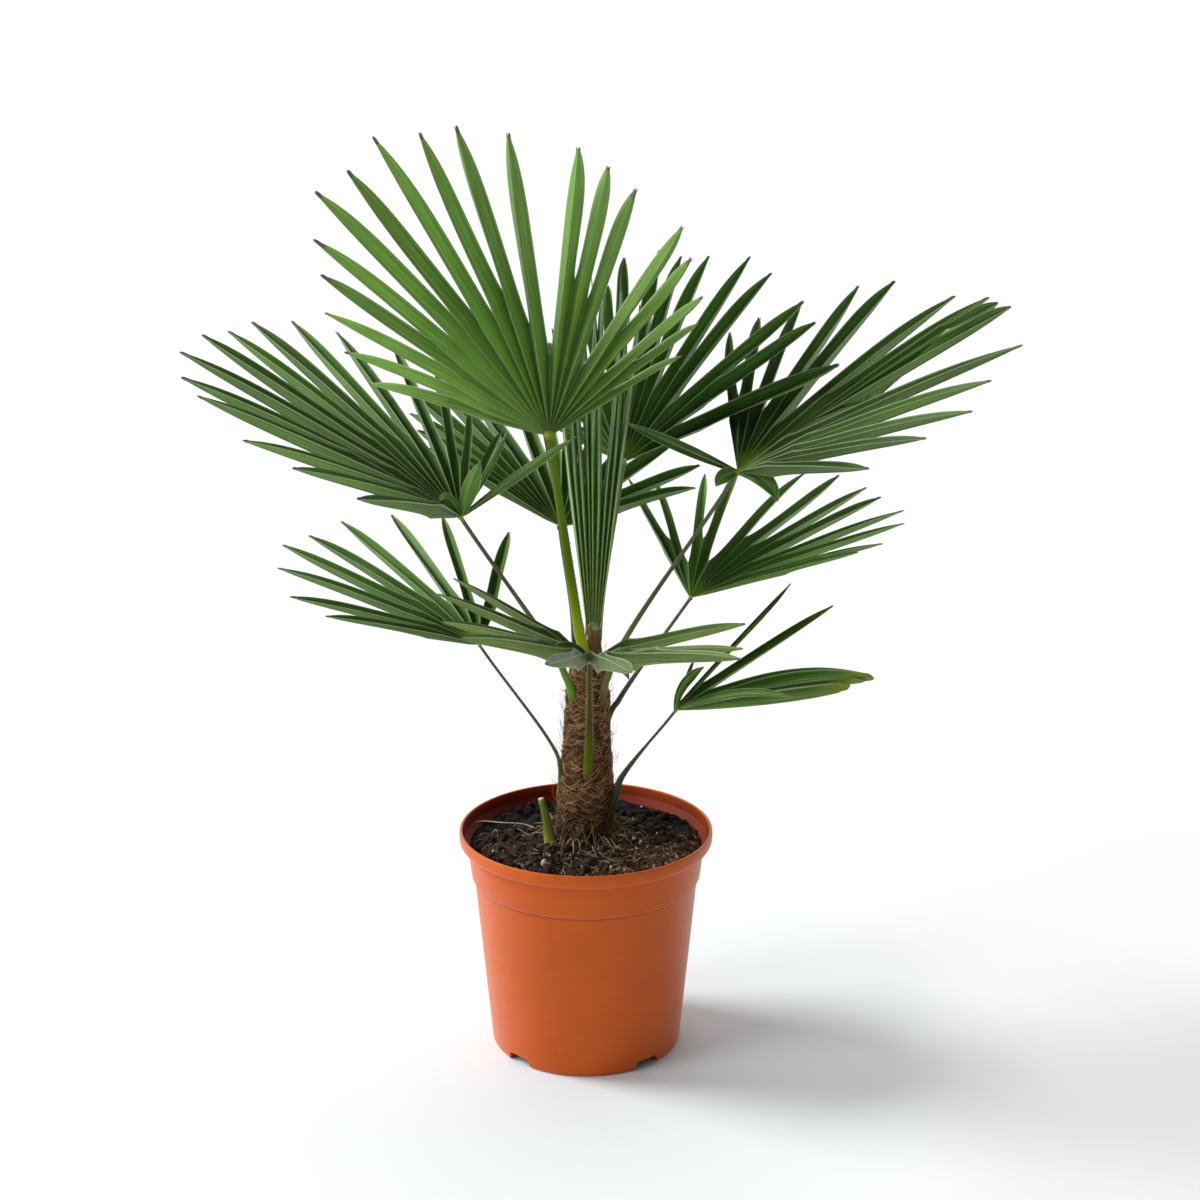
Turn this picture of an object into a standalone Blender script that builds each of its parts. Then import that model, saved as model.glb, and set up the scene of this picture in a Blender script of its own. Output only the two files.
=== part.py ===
"""Potted windmill palm: a young fan palm with a fibre-wrapped trunk, in a round plastic nursery pot.

Metres, +Z up. The origin is the centre of the pot's underside, and -Y is the front of the plant.
"""

import math
import random
from dataclasses import dataclass

import bpy
import numpy as np
from mathutils import Vector

NAME = "potted_windmill_palm"

# Clearance between pieces that rest on each other
GAP = 0.0003

# Pot
POT_HEIGHT = 0.2152
RIM_RADIUS = 0.1200
RIM_LIP = 0.0030
RIM_BAND = 0.0130
RIM_ROUND = 0.0012
RIM_CREASE = 0.0022
COLLAR_TOP_RADIUS = 0.1118
COLLAR_FOOT_RADIUS = 0.1085
COLLAR_STEP_HEIGHT = 0.1670
BODY_TOP_RADIUS = 0.1058
FOOT_RADIUS = 0.0905
POT_WALL = 0.0023
FOOT_ROUND = 0.0018
FOOT_ROUND_HEIGHT = 0.0040
FLOOR_ROUND = 0.0030
FOOT_RING_WIDTH = 0.0035
FOOT_PAD_RADIUS = 0.0550
FLOOR_THICKNESS = 0.0025
NOTCH_HEIGHT = 0.0090
NOTCH_TOP_WIDTH = 0.0230
NOTCH_FOOT_WIDTH = 0.0290
NOTCH_HALF_ANGLE = 42.0
NOTCH_TURN = -2.5
POT_SEGMENTS = 72
NOTCH_CUT_BELOW = 0.003
NOTCH_CUT_SHARES = (0.9, 1.1)

# Soil
SOIL_EDGE_HEIGHT = 0.2025
SOIL_MOUND_HEIGHT = 0.2090
SOIL_LUMP = 0.0020
SOIL_LUMP_TURNS = (61.0, 73.0)
SOIL_FLAT_BEYOND_TRUNK = 0.010
SOIL_RING_CROWDING = 0.8
SOIL_RINGS = 6
SOIL_SEGMENTS = 36

# Trunk: its axis at foot and tip, then (height, radius) stations up from the soil
TRUNK_FOOT = (-0.001, 0.010)
TRUNK_TOP = (0.003, 0.010)
TRUNK_SIDES = 16
TRUNK_PROFILE = (
    (0.2090, 0.0250),
    (0.2280, 0.0262),
    (0.2480, 0.0268),
    (0.2680, 0.0245),
    (0.2880, 0.0226),
    (0.3130, 0.0214),
    (0.3390, 0.0202),
    (0.3600, 0.0182),
    (0.3780, 0.0152),
    (0.3920, 0.0110),
)
TRUNK_TOP_HEIGHT = TRUNK_PROFILE[-1][0]
STRAIGHT_FOOT = 0.004

# Blades: angles in degrees, the rest as shares
BLADE_THICKNESS_SHARE = 0.0105
PLEAT_SHARE = 0.30
JOINED_ROWS = (0.0, 0.45, 1.0)
LEAFLET_STATIONS = ((0.32, 1.06), (0.70, 0.72))
DEEPEST_JOIN = 0.80
SHALLOWEST_JOIN = 0.18
BUNDLE_PULL = 0.5
CLOSING_POWER = 2
TURN_JITTER = 2.2
TURN_JITTER_SHARE = 0.30
REACH_JITTER = 0.06

# Petioles
CLASP_SHARES = (0.0, 0.35, 0.65, 1.0)
CLASP_TAPER = 0.12
PETIOLE_SIDES = 8
PETIOLE_STEPS = 9
PETIOLE_TAPER_RUN = 0.625
KNOB_RATIO = 1.35
KNOB_SHARES = (-0.85, -0.5, 0.0, 0.5, 0.85, 0.98)


@dataclass
class Petiole:
    """A leaf stalk: it clasps the trunk at an azimuth, between two heights, then runs to the blade.

    Lean is how far it has left the trunk's side at the upper height.
    """

    azimuth: float
    foot: float
    clasp: float
    base_radius: float
    tip_radius: float
    rise: float = 0.8
    lean: float = 0.0


@dataclass
class Frond:
    """One fan: its leaflets spread from the hub about an axis, between two angles.

    The axis is given by its azimuth and elevation, and roll turns the fan about it. A bundle is a
    run of leaflets, first and last, that cling together, out to bundle_join of their length. Closing
    is how far a bundle draws together at its tips, and towards which angle. The blade starts at the
    petiole's knob, or at start if that is further from the hub. Slim is the width of a free leaflet,
    as a share of the width that its folds would give it.
    """

    hub: tuple
    axis: tuple
    spread: tuple
    leaflets: int
    reach: float
    end_shares: tuple
    roundness: float
    seed: int
    roll: float = 0.0
    cup: float = 0.0
    crowding: float = 0.0
    droop: float = 0.04
    joined: float = 0.40
    bundles: tuple = ()
    bundle_join: float = 0.0
    closing: tuple = ()
    start: float = 0.0
    slim: float = 1.0
    petiole: Petiole = None


FRONDS = {
    "front_high": Frond(
        hub=(-0.0312, -0.0447, 0.6027), axis=(-105, 71), spread=(-83, 58), leaflets=19,
        reach=0.307, end_shares=(0.65, 0.48), roundness=1.8, seed=696, cup=20, crowding=0.16,
        droop=0.039, joined=0.38, petiole=Petiole(-120, 0.380, 0.406, 0.0058, 0.0038),
    ),
    "left_high": Frond(
        hub=(-0.1091, -0.0685, 0.5354), axis=(182, 35), spread=(59, -89), leaflets=15,
        reach=0.291, end_shares=(0.70, 0.53), roundness=2.5, seed=996, roll=-6, cup=18,
        crowding=0.10, droop=0.039, joined=0.31, slim=0.82,
        petiole=Petiole(-138, 0.334, 0.370, 0.0044, 0.0022, 0.42, 0.008),
    ),
    "left_low": Frond(
        hub=(-0.0980, 0.0044, 0.3944), axis=(160, 24), spread=(37, -68), leaflets=9,
        reach=0.220, end_shares=(0.68, 0.87), roundness=2.7, seed=763, roll=-5, cup=15,
        crowding=-0.22, droop=0.042, joined=0.27, slim=0.85,
        petiole=Petiole(200, 0.240, 0.280, 0.0026, 0.0018, 0.4, 0.0008),
    ),
    "front_low": Frond(
        hub=(0.0040, -0.0851, 0.4076), axis=(-100, 19), spread=(-84, 88), leaflets=9,
        reach=0.194, end_shares=(0.71, 0.74), roundness=1.9, seed=880, roll=-7, cup=27,
        crowding=-0.06, droop=0.037, joined=0.26, bundles=((2, 3), (6, 7)), slim=0.72,
        petiole=Petiole(-86, 0.266, 0.296, 0.0050, 0.0025),
    ),
    "right_high": Frond(
        hub=(0.1350, -0.0436, 0.5700), axis=(18, 33), spread=(-70, 62), leaflets=14,
        reach=0.298, end_shares=(0.64, 0.76), roundness=1.5, seed=2439, roll=5, cup=15,
        crowding=0.10, droop=0.039, joined=0.31, bundles=((5, 8),), slim=0.92,
        petiole=Petiole(-42, 0.338, 0.370, 0.0040, 0.0022, 0.53, 0.005),
    ),
    "right_middle": Frond(
        hub=(0.0973, 0.0292, 0.4326), axis=(18, 14), spread=(-8, 83), leaflets=12,
        reach=0.290, end_shares=(0.56, 0.77), roundness=2.5, seed=119, roll=-2, cup=22,
        crowding=-0.22, droop=0.037, joined=0.34, bundles=((8, 9),), slim=0.76,
        petiole=Petiole(8, 0.316, 0.336, 0.0038, 0.0020, 0.5, 0.004),
    ),
    "right_low": Frond(
        hub=(0.0823, -0.0286, 0.3417), axis=(-20, 15), spread=(3, 77), leaflets=7,
        reach=0.192, end_shares=(0.85, 0.30), roundness=4.2, seed=1771, roll=1, cup=47,
        crowding=-0.50, droop=0.029, joined=0.22, bundles=((0, 3),), bundle_join=0.93,
        closing=(0.93, 6.0),
        petiole=Petiole(-21, 0.2095, 0.259, 0.0050, 0.0018, 0.4, 0.0014),
    ),
    "back_right": Frond(
        hub=(0.0337, 0.0506, 0.5567), axis=(51, 56), spread=(72, -51), leaflets=16,
        reach=0.237, end_shares=(0.60, 0.93), roundness=2.1, seed=150, roll=-1, cup=-6,
        crowding=-0.28, droop=0.045, joined=0.42,
        petiole=Petiole(55, 0.356, 0.398, 0.0042, 0.0034),
    ),
    "back_left": Frond(
        hub=(-0.0235, 0.0695, 0.4906), axis=(126, 33), spread=(42, -89), leaflets=14,
        reach=0.236, end_shares=(0.64, 0.66), roundness=2.1, seed=206, roll=6, cup=17,
        crowding=-0.13, droop=0.041, joined=0.42,
        petiole=Petiole(155, 0.356, 0.398, 0.0031, 0.0030, 0.8, 0.0014),
    ),
}

# The unopened youngest leaf: a narrow pleated fan that spreads from a point inside the trunk's tip,
# on a stem that rises out of that tip
SPEAR_FOOT = (0.0056, 0.0104)
SPEAR_STEM_RADIUS = 0.0042
SPEAR = Frond(
    hub=(0.0070, 0.0112, 0.3550), axis=(-90, 89), spread=(-6.6, 6.6), leaflets=9,
    reach=0.392, end_shares=(0.90, 0.94), roundness=2.0, seed=20, droop=0.0, joined=0.55,
    start=0.062,
)

# Cut petiole stub on the left of the trunk's foot
STUB_FOOT = (-0.0330, -0.0140)
STUB_TIP = (-0.0420, -0.0100, 0.2480)
STUB_FOOT_RADIUS = 0.0058
STUB_TIP_RADIUS = 0.0030

COLOURS = {
    "pot": ((0.52, 0.17, 0.065), 0.42),
    "soil": ((0.030, 0.022, 0.016), 0.95),
    "trunk": ((0.110, 0.062, 0.034), 0.90),
    "petiole": ((0.150, 0.230, 0.055), 0.50),
    "frond": ((0.050, 0.150, 0.028), 0.42),
    "young_frond": ((0.085, 0.215, 0.040), 0.42),
}


def material(name):
    """One material for each finish, made on its first use."""
    found = bpy.data.materials.get(name)
    if found:
        return found
    colour, roughness = COLOURS[name]
    made = bpy.data.materials.new(name)
    made.use_nodes = True
    shader = made.node_tree.nodes["Principled BSDF"]
    shader.inputs["Base Color"].default_value = (*colour, 1.0)
    shader.inputs["Roughness"].default_value = roughness
    return made


def collection(name, hidden=False):
    made = bpy.data.collections.new(name)
    bpy.context.scene.collection.children.link(made)
    made.hide_render = hidden
    return made


def add_object(name, data, finish, group):
    made = bpy.data.objects.new(name, data)
    data.materials.append(material(finish))
    group.objects.link(made)
    return made


def mesh_of(name, points, faces):
    mesh = bpy.data.meshes.new(name)
    mesh.from_pydata([tuple(point) for point in points], [], faces)
    mesh.validate()
    return mesh


def turned(name, profile, segments, finish, group):
    """A solid turned about +Z from a profile of (radius, height) that runs down its outer side."""
    mesh = bpy.data.meshes.new(name)
    points = [(radius, 0.0, height) for radius, height in profile]
    mesh.from_pydata(points, [(i, i + 1) for i in range(len(points) - 1)], [])
    made = add_object(name, mesh, finish, group)
    screw = made.modifiers.new("turn", "SCREW")
    screw.axis = "Z"
    screw.steps = screw.render_steps = segments
    screw.use_merge_vertices = True
    screw.merge_threshold = 0.00001
    screw.use_smooth_shade = True
    return made


def pot_profile():
    """From the middle of the inner floor, up the inner wall, over the lip and down to the foot."""
    lip_foot = POT_HEIGHT - RIM_BAND
    inner_rim = RIM_RADIUS - RIM_LIP
    inner_foot = FOOT_RADIUS - POT_WALL
    floor_top = NOTCH_HEIGHT + FLOOR_THICKNESS
    chamfer = BODY_TOP_RADIUS - COLLAR_FOOT_RADIUS
    inside = [
        (0.0, floor_top),
        (inner_foot - FLOOR_ROUND, floor_top),
        (inner_foot, floor_top + FLOOR_ROUND),
        (BODY_TOP_RADIUS - POT_WALL, COLLAR_STEP_HEIGHT),
        (COLLAR_FOOT_RADIUS - POT_WALL, COLLAR_STEP_HEIGHT - chamfer),
        (COLLAR_TOP_RADIUS - POT_WALL, lip_foot - POT_WALL),
    ]
    lip = [
        (inner_rim - RIM_ROUND, lip_foot + RIM_BAND / 3),
        (inner_rim, POT_HEIGHT - RIM_ROUND),
        (inner_rim + RIM_ROUND, POT_HEIGHT),
        (RIM_RADIUS - RIM_ROUND, POT_HEIGHT),
        (RIM_RADIUS, POT_HEIGHT - RIM_ROUND),
        (RIM_RADIUS, POT_HEIGHT - RIM_BAND / 2),
        (RIM_RADIUS - RIM_CREASE / 2, lip_foot + RIM_ROUND),
        (RIM_RADIUS - RIM_CREASE, lip_foot),
    ]
    outside = [
        (COLLAR_TOP_RADIUS, lip_foot - RIM_ROUND / 2),
        (COLLAR_FOOT_RADIUS, COLLAR_STEP_HEIGHT - chamfer),
        (BODY_TOP_RADIUS, COLLAR_STEP_HEIGHT),
        (FOOT_RADIUS, FOOT_ROUND_HEIGHT),
        (FOOT_RADIUS - FOOT_ROUND / 3, FOOT_ROUND_HEIGHT / 4),
        (FOOT_RADIUS - FOOT_ROUND, 0.0),
        (FOOT_RADIUS - FOOT_ROUND - FOOT_RING_WIDTH, 0.0),
        (FOOT_RADIUS - FOOT_ROUND - FOOT_RING_WIDTH, NOTCH_HEIGHT),
        (FOOT_PAD_RADIUS + RIM_ROUND, NOTCH_HEIGHT),
        (FOOT_PAD_RADIUS, 0.0),
        (0.0, 0.0),
    ]
    return inside + lip + outside


def notch_cutter(name, azimuth, group):
    """A tapered block that cuts one drainage notch through the foot ring."""
    reach = [FOOT_RADIUS * share for share in NOTCH_CUT_SHARES]
    below = NOTCH_CUT_BELOW
    slope = (NOTCH_FOOT_WIDTH - NOTCH_TOP_WIDTH) / 2 / NOTCH_HEIGHT
    levels = (
        (-below, NOTCH_FOOT_WIDTH / 2 + slope * below),
        (NOTCH_HEIGHT, NOTCH_TOP_WIDTH / 2),
    )
    points = [(x, side * half, z) for z, half in levels for x in reach for side in (-1, 1)]
    faces = [(0, 1, 3, 2), (4, 6, 7, 5), (0, 4, 5, 1), (2, 3, 7, 6), (0, 2, 6, 4), (1, 5, 7, 3)]
    cutter = bpy.data.objects.new(name, mesh_of(name, points, faces))
    cutter.rotation_euler.z = math.radians(azimuth)
    cutter.hide_render = True
    cutter.display_type = "WIRE"
    group.objects.link(cutter)
    return cutter


def build_pot(group, cutters):
    pot = turned("pot", pot_profile(), POT_SEGMENTS, "pot", group)
    for facing in (-90, 90):
        for side in (-1, 1):
            azimuth = facing + side * NOTCH_HALF_ANGLE + NOTCH_TURN
            cut = pot.modifiers.new("notch", "BOOLEAN")
            cut.operation = "DIFFERENCE"
            cut.object = notch_cutter(f"notch_cutter_{azimuth:.0f}", azimuth, cutters)
    return pot


def inner_radius(height):
    """The pot's inner radius at a height between its floor and its lip."""
    inside = [(height, radius) for radius, height in pot_profile()[1:7]]
    return float(np.interp(height, [z for z, _ in inside], [r for _, r in inside]))


def soil_height(x, y):
    """The soil's surface: flat under the trunk, then a low lumpy slope down to the pot's wall."""
    away = math.hypot(x - TRUNK_FOOT[0], y - TRUNK_FOOT[1])
    flat = TRUNK_PROFILE[0][1] + SOIL_FLAT_BEYOND_TRUNK
    edge = inner_radius(SOIL_EDGE_HEIGHT)
    fall = min(max((away - flat) / (edge - flat), 0.0), 1.0)
    lump = SOIL_LUMP * math.sin(SOIL_LUMP_TURNS[0] * x) * math.cos(SOIL_LUMP_TURNS[1] * y)
    slope = SOIL_MOUND_HEIGHT + (SOIL_EDGE_HEIGHT - SOIL_MOUND_HEIGHT) * fall
    return slope + lump * math.sin(math.pi * fall)


def build_soil(group):
    """The soil fills the pot from its floor to a little below its lip."""
    floor = NOTCH_HEIGHT + FLOOR_THICKNESS + GAP
    edge = inner_radius(SOIL_EDGE_HEIGHT) - GAP
    side = [(radius - GAP * 1.5, height) for radius, height in reversed(pot_profile()[2:6])]
    side.append((side[-1][0] - FLOOR_ROUND, floor))
    angles = [2 * math.pi * i / SOIL_SEGMENTS for i in range(SOIL_SEGMENTS)]
    centre = TRUNK_FOOT
    points = [(centre[0], centre[1], soil_height(*centre))]
    for ring in range(1, SOIL_RINGS + 1):
        share = (ring / SOIL_RINGS) ** SOIL_RING_CROWDING
        for angle in angles:
            x = centre[0] * (1 - share) + edge * share * math.cos(angle)
            y = centre[1] * (1 - share) + edge * share * math.sin(angle)
            points.append((x, y, soil_height(x, y)))
    for radius, height in side:
        points += [(radius * math.cos(a), radius * math.sin(a), height) for a in angles]
    points.append((0.0, 0.0, floor))
    rings = SOIL_RINGS + len(side)
    faces = []
    for i in range(SOIL_SEGMENTS):
        j = (i + 1) % SOIL_SEGMENTS
        faces.append((0, 1 + i, 1 + j))
        for ring in range(rings - 1):
            first, second = 1 + ring * SOIL_SEGMENTS, 1 + (ring + 1) * SOIL_SEGMENTS
            faces.append((first + i, second + i, second + j, first + j))
        last = 1 + (rings - 1) * SOIL_SEGMENTS
        faces.append((last + j, last + i, len(points) - 1))
    return add_object("soil", mesh_of("soil", points, faces), "soil", group)


def trunk_radius(height):
    heights, radii = zip(*TRUNK_PROFILE)
    return float(np.interp(height, heights, radii))


def trunk_axis(height):
    share = (height - SOIL_MOUND_HEIGHT) / (TRUNK_TOP_HEIGHT - SOIL_MOUND_HEIGHT)
    return Vector(TRUNK_FOOT).lerp(Vector(TRUNK_TOP), min(max(share, 0.0), 1.0))


def limb(name, path, sides, finish, group):
    """One tapering limb through (point, radius) stations, with closed ends."""
    curve = bpy.data.curves.new(name, "CURVE")
    curve.dimensions = "3D"
    curve.twist_mode = "MINIMUM"
    curve.bevel_depth = 1.0
    curve.bevel_resolution = (sides - 4) // 2
    curve.use_fill_caps = True
    spline = curve.splines.new("POLY")
    spline.points.add(len(path) - 1)
    for point, (place, radius) in zip(spline.points, path):
        point.co = (*place, 1.0)
        point.radius = radius
    return add_object(name, curve, finish, group)


def build_trunk(group):
    path = []
    for height, radius in TRUNK_PROFILE:
        x, y = trunk_axis(height)
        path.append(((x, y, height), radius))
    foot, foot_radius = path[0]
    path[0] = ((foot[0], foot[1], foot[2] + GAP), foot_radius)
    path.insert(1, ((foot[0], foot[1], foot[2] + STRAIGHT_FOOT), foot_radius))
    return limb("trunk", path, TRUNK_SIDES, "trunk", group)


def knob_stations(hub, along, tip_radius):
    """The swelling at a petiole's end, from which the leaflets spread."""
    radius = knob_radius(tip_radius)
    stations = []
    for share in KNOB_SHARES:
        swell = radius * math.sqrt(1 - share * share)
        if share < 0:
            swell = max(swell, tip_radius)
        stations.append((hub + along * (radius * share), swell))
    return stations


def knob_radius(tip_radius):
    return tip_radius * KNOB_RATIO


def petiole_path(frond):
    """Stations up the trunk's side, then along a smooth curve to the hub."""
    petiole = frond.petiole
    turn = math.radians(petiole.azimuth)
    outward = Vector((math.cos(turn), math.sin(turn), 0.0))
    path = []
    for share in CLASP_SHARES:
        height = petiole.foot + (petiole.clasp - petiole.foot) * share
        x, y = trunk_axis(height)
        radius = petiole.base_radius * (1 - CLASP_TAPER * share)
        away = trunk_radius(height) + radius + GAP + petiole.lean * share * share
        path.append((Vector((x, y, height)) + outward * away, radius))
    start, start_radius = path[-1]
    hub = Vector(frond.hub)
    span = hub - start
    leave = (start - path[0][0]).normalized() * span.length * petiole.rise
    along = span.normalized()
    arrive = along * span.length
    knob = knob_stations(hub, along, petiole.tip_radius)
    end = knob[0][0]
    for step in range(1, PETIOLE_STEPS):
        t = step / PETIOLE_STEPS
        place = (
            start * (2 * t**3 - 3 * t**2 + 1)
            + leave * (t**3 - 2 * t**2 + t)
            + end * (3 * t**2 - 2 * t**3)
            + arrive * (t**3 - t**2)
        )
        radius = start_radius + (petiole.tip_radius - start_radius) * min(1.0, t / PETIOLE_TAPER_RUN)
        path.append((place, radius))
    return path + knob


class Fan:
    """The rule that places a frond's leaflets: directions from the hub, lengths and folds."""

    def __init__(self, frond, knob):
        self.frond = frond
        self.start = max(frond.start, knob + GAP)
        azimuth, elevation = (math.radians(angle) for angle in frond.axis)
        roll = math.radians(frond.roll)
        self.axis = Vector(
            (
                math.cos(elevation) * math.cos(azimuth),
                math.cos(elevation) * math.sin(azimuth),
                math.sin(elevation),
            )
        )
        level = Vector((-math.sin(azimuth), math.cos(azimuth), 0.0))
        upright = self.axis.cross(level)
        self.side = level * math.cos(roll) + upright * math.sin(roll)
        self.up = upright * math.cos(roll) - level * math.sin(roll)
        self.set_leaflets()

    def set_leaflets(self):
        """The ribs' angles and reaches, with a small seeded unevenness."""
        frond = self.frond
        draw = random.Random(frond.seed)
        first, last = frond.spread
        pitch = abs(last - first) / (frond.leaflets - 1)
        jitter = min(TURN_JITTER, TURN_JITTER_SHARE * pitch)
        turns = [draw.uniform(-jitter, jitter) for _ in range(frond.leaflets)]
        stretch = [draw.uniform(-REACH_JITTER, REACH_JITTER) for _ in range(frond.leaflets)]
        even = [k / (frond.leaflets - 1) for k in range(frond.leaflets)]
        shares = [share + frond.crowding * share * (1 - share) for share in even]
        angles = [first + (last - first) * share for share in shares]
        pull = 1.0 if frond.closing else BUNDLE_PULL
        self.bundled = set()
        for start, end in frond.bundles:
            middle = sum(angles[start : end + 1]) / (end + 1 - start)
            for k in range(start, end + 1):
                angles[k] = middle + (angles[k] - middle) * pull
                self.bundled.add(k)
        self.ribs = [math.radians(angle + turn) for angle, turn in zip(angles, turns)]
        self.reaches = []
        for share, longer in zip(shares, stretch):
            end_share = frond.end_shares[0 if share < 0.5 else 1]
            fall = (1 - end_share) * abs(2 * share - 1) ** frond.roundness
            self.reaches.append(frond.reach * (1 - fall) * (1 + longer))

    def folds(self):
        """(angle, split distance) of each fold beside the ribs: close ribs stay joined for longer."""
        ribs, reaches, joined = self.ribs, self.reaches, self.frond.joined
        nominal = abs(ribs[-1] - ribs[0]) / (len(ribs) - 1)
        found = []
        for k in range(len(ribs) - 1):
            share = joined * nominal / abs(ribs[k + 1] - ribs[k])
            share = min(max(share, SHALLOWEST_JOIN), DEEPEST_JOIN)
            if any(start <= k < end for start, end in self.frond.bundles):
                share = max(share, self.frond.bundle_join)
            found.append(((ribs[k] + ribs[k + 1]) / 2, share * min(reaches[k : k + 2])))
        first_join = max(joined, self.frond.bundle_join) if 0 in self.bundled else joined
        outer = [(2 * ribs[0] - found[0][0], reaches[0] * first_join)]
        last = [(2 * ribs[-1] - found[-1][0], reaches[-1] * joined)]
        return outer + found + last

    def squeeze(self, k, distance):
        """The share of its breadth that leaflet k's bundle keeps at a distance from the hub."""
        if not self.frond.closing or k not in self.bundled:
            return 1.0
        return 1 - self.frond.closing[0] * (distance / self.frond.reach) ** CLOSING_POWER

    def drawn(self, k, angle, distance):
        """An angle on leaflet k, drawn towards the tips of a closing bundle."""
        if not self.frond.closing:
            return angle
        tip = math.radians(self.frond.closing[1])
        return tip + (angle - tip) * self.squeeze(k, distance)

    def direction(self, angle):
        rise = math.radians(self.frond.cup) * (1 - math.cos(angle))
        flat = self.axis * math.cos(angle) + self.side * math.sin(angle)
        return flat * math.cos(rise) + self.up * math.sin(rise)

    def place(self, angle, distance, reach, lift=0.0):
        """A point on the blade: lift is along the blade's own upper side."""
        along = self.direction(angle)
        step = 0.01
        across = self.direction(angle + step) - self.direction(angle - step)
        above = along.cross(across).normalized()
        sag = self.frond.droop * reach * (distance / reach) ** 2
        return Vector(self.frond.hub) + along * distance + above * lift - Vector((0, 0, sag))


class Sheet:
    """Points and faces of a surface, as they are added."""

    def __init__(self):
        self.points = []
        self.faces = []

    def add(self, point):
        self.points.append(point)
        return len(self.points) - 1

    def quad_strip(self, first, second):
        for k in range(len(first) - 1):
            self.faces.append((first[k], second[k], second[k + 1], first[k + 1]))


def blade_surface(frond, knob):
    """The middle surface of a blade: pleated and joined near the hub, then split into leaflets."""
    fan = Fan(frond, knob)
    sheet = Sheet()
    folds = fan.folds()
    count = frond.leaflets
    way = math.copysign(1.0, frond.spread[1] - frond.spread[0])
    slope = PLEAT_SHARE * abs(fan.ribs[-1] - fan.ribs[0]) / (count - 1) / 2

    def row(share):
        """One row across the joined part: fold, rib, fold, rib and so on."""
        made = []
        for k in range(count + 1):
            angle, split = folds[k]
            distance = fan.start + (split - fan.start) * share
            near = min(k, count - 1)
            lift = slope * distance * share * fan.squeeze(near, distance)
            angle = fan.drawn(near, angle, distance)
            made.append(sheet.add(fan.place(angle, distance, fan.reaches[near], lift)))
            if k < count:
                split = (split + folds[k + 1][1]) / 2
                distance = fan.start + (split - fan.start) * share
                lift = -slope * distance * share * fan.squeeze(k, distance)
                angle = fan.drawn(k, fan.ribs[k], distance)
                made.append(sheet.add(fan.place(angle, distance, fan.reaches[k], lift)))
        return made

    rows = [row(share) for share in JOINED_ROWS]
    for first, second in zip(rows, rows[1:]):
        sheet.quad_strip(first, second)
    for k in range(count):
        rib, reach = fan.ribs[k], fan.reaches[k]
        before = rows[-1][2 * k : 2 * k + 3]
        for station, width_share in LEAFLET_STATIONS:
            sides, distances = [], []
            for side, (fold, split) in ((-way, folds[k]), (way, folds[k + 1])):
                distance = split + (reach - split) * station
                width = abs(fold - rib) * split * width_share * frond.slim * fan.squeeze(k, split)
                angle = fan.drawn(k, rib, distance) + side * width / distance
                sides.append(sheet.add(fan.place(angle, distance, reach, PLEAT_SHARE * width)))
                distances.append(distance)
            split = min(folds[k][1], folds[k + 1][1])
            sunk = -slope * split * width_share * frond.slim * fan.squeeze(k, split)
            distance = sum(distances) / 2
            middle = sheet.add(fan.place(fan.drawn(k, rib, distance), distance, reach, sunk))
            after = [sides[0], middle, sides[1]]
            sheet.quad_strip(before, after)
            before = after
        tip = sheet.add(fan.place(fan.drawn(k, rib, reach), reach, reach))
        sheet.faces += [(before[0], tip, before[1]), (before[1], tip, before[2])]
    faces = sheet.faces if way < 0 else [face[::-1] for face in sheet.faces]
    return sheet.points, faces


def build_blade(name, frond, knob, finish, group):
    points, faces = blade_surface(frond, knob)
    blade = add_object(name, mesh_of(name, points, faces), finish, group)
    wall = blade.modifiers.new("thickness", "SOLIDIFY")
    wall.thickness = BLADE_THICKNESS_SHARE * frond.reach
    wall.offset = 0.0
    return blade


def build_spear(group):
    """The closed youngest leaf on its own short stem."""
    radius = knob_radius(SPEAR_STEM_RADIUS)
    axis = Fan(SPEAR, radius).axis
    foot = Vector((*SPEAR_FOOT, TRUNK_TOP_HEIGHT + GAP))
    top = Vector(SPEAR.hub) + axis * (SPEAR.start - GAP - radius)
    knob = knob_stations(top, (top - foot).normalized(), SPEAR_STEM_RADIUS)
    path = [(foot, SPEAR_STEM_RADIUS), (foot.lerp(knob[0][0], 0.5), SPEAR_STEM_RADIUS)]
    limb("spear_stem", path + knob, PETIOLE_SIDES, "petiole", group)
    build_blade("spear_blade", SPEAR, radius, "frond", group)


def build_stub(group):
    """A petiole cut off short, beside the trunk's foot."""
    foot = Vector((*STUB_FOOT, soil_height(*STUB_FOOT) + GAP))
    tip = Vector(STUB_TIP)
    rise = Vector((foot.x, foot.y, foot.z + STRAIGHT_FOOT))
    path = [(foot, STUB_FOOT_RADIUS), (rise, STUB_FOOT_RADIUS)]
    for share in (0.5, 1.0):
        radius = STUB_FOOT_RADIUS + (STUB_TIP_RADIUS - STUB_FOOT_RADIUS) * share
        path.append((rise.lerp(tip, share), radius))
    limb("cut_stub", path, PETIOLE_SIDES, "petiole", group)


def main():
    for obj in list(bpy.data.objects):
        bpy.data.objects.remove(obj)
    group = collection(NAME)
    cutters = collection("cutters", hidden=True)
    build_pot(group, cutters)
    build_soil(group)
    build_trunk(group)
    for name, frond in FRONDS.items():
        limb(f"petiole_{name}", petiole_path(frond), PETIOLE_SIDES, "petiole", group)
        finish = "young_frond" if name == "front_high" else "frond"
        build_blade(f"frond_{name}", frond, knob_radius(frond.petiole.tip_radius), finish, group)
    build_spear(group)
    build_stub(group)


main()
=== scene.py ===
"""Dresses the potted windmill palm: fine fronds, fibrous trunk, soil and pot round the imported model.

Metres, +Z up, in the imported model's own frame. -Y is the front of the plant.
"""

import math
import random
from typing import NamedTuple

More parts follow.
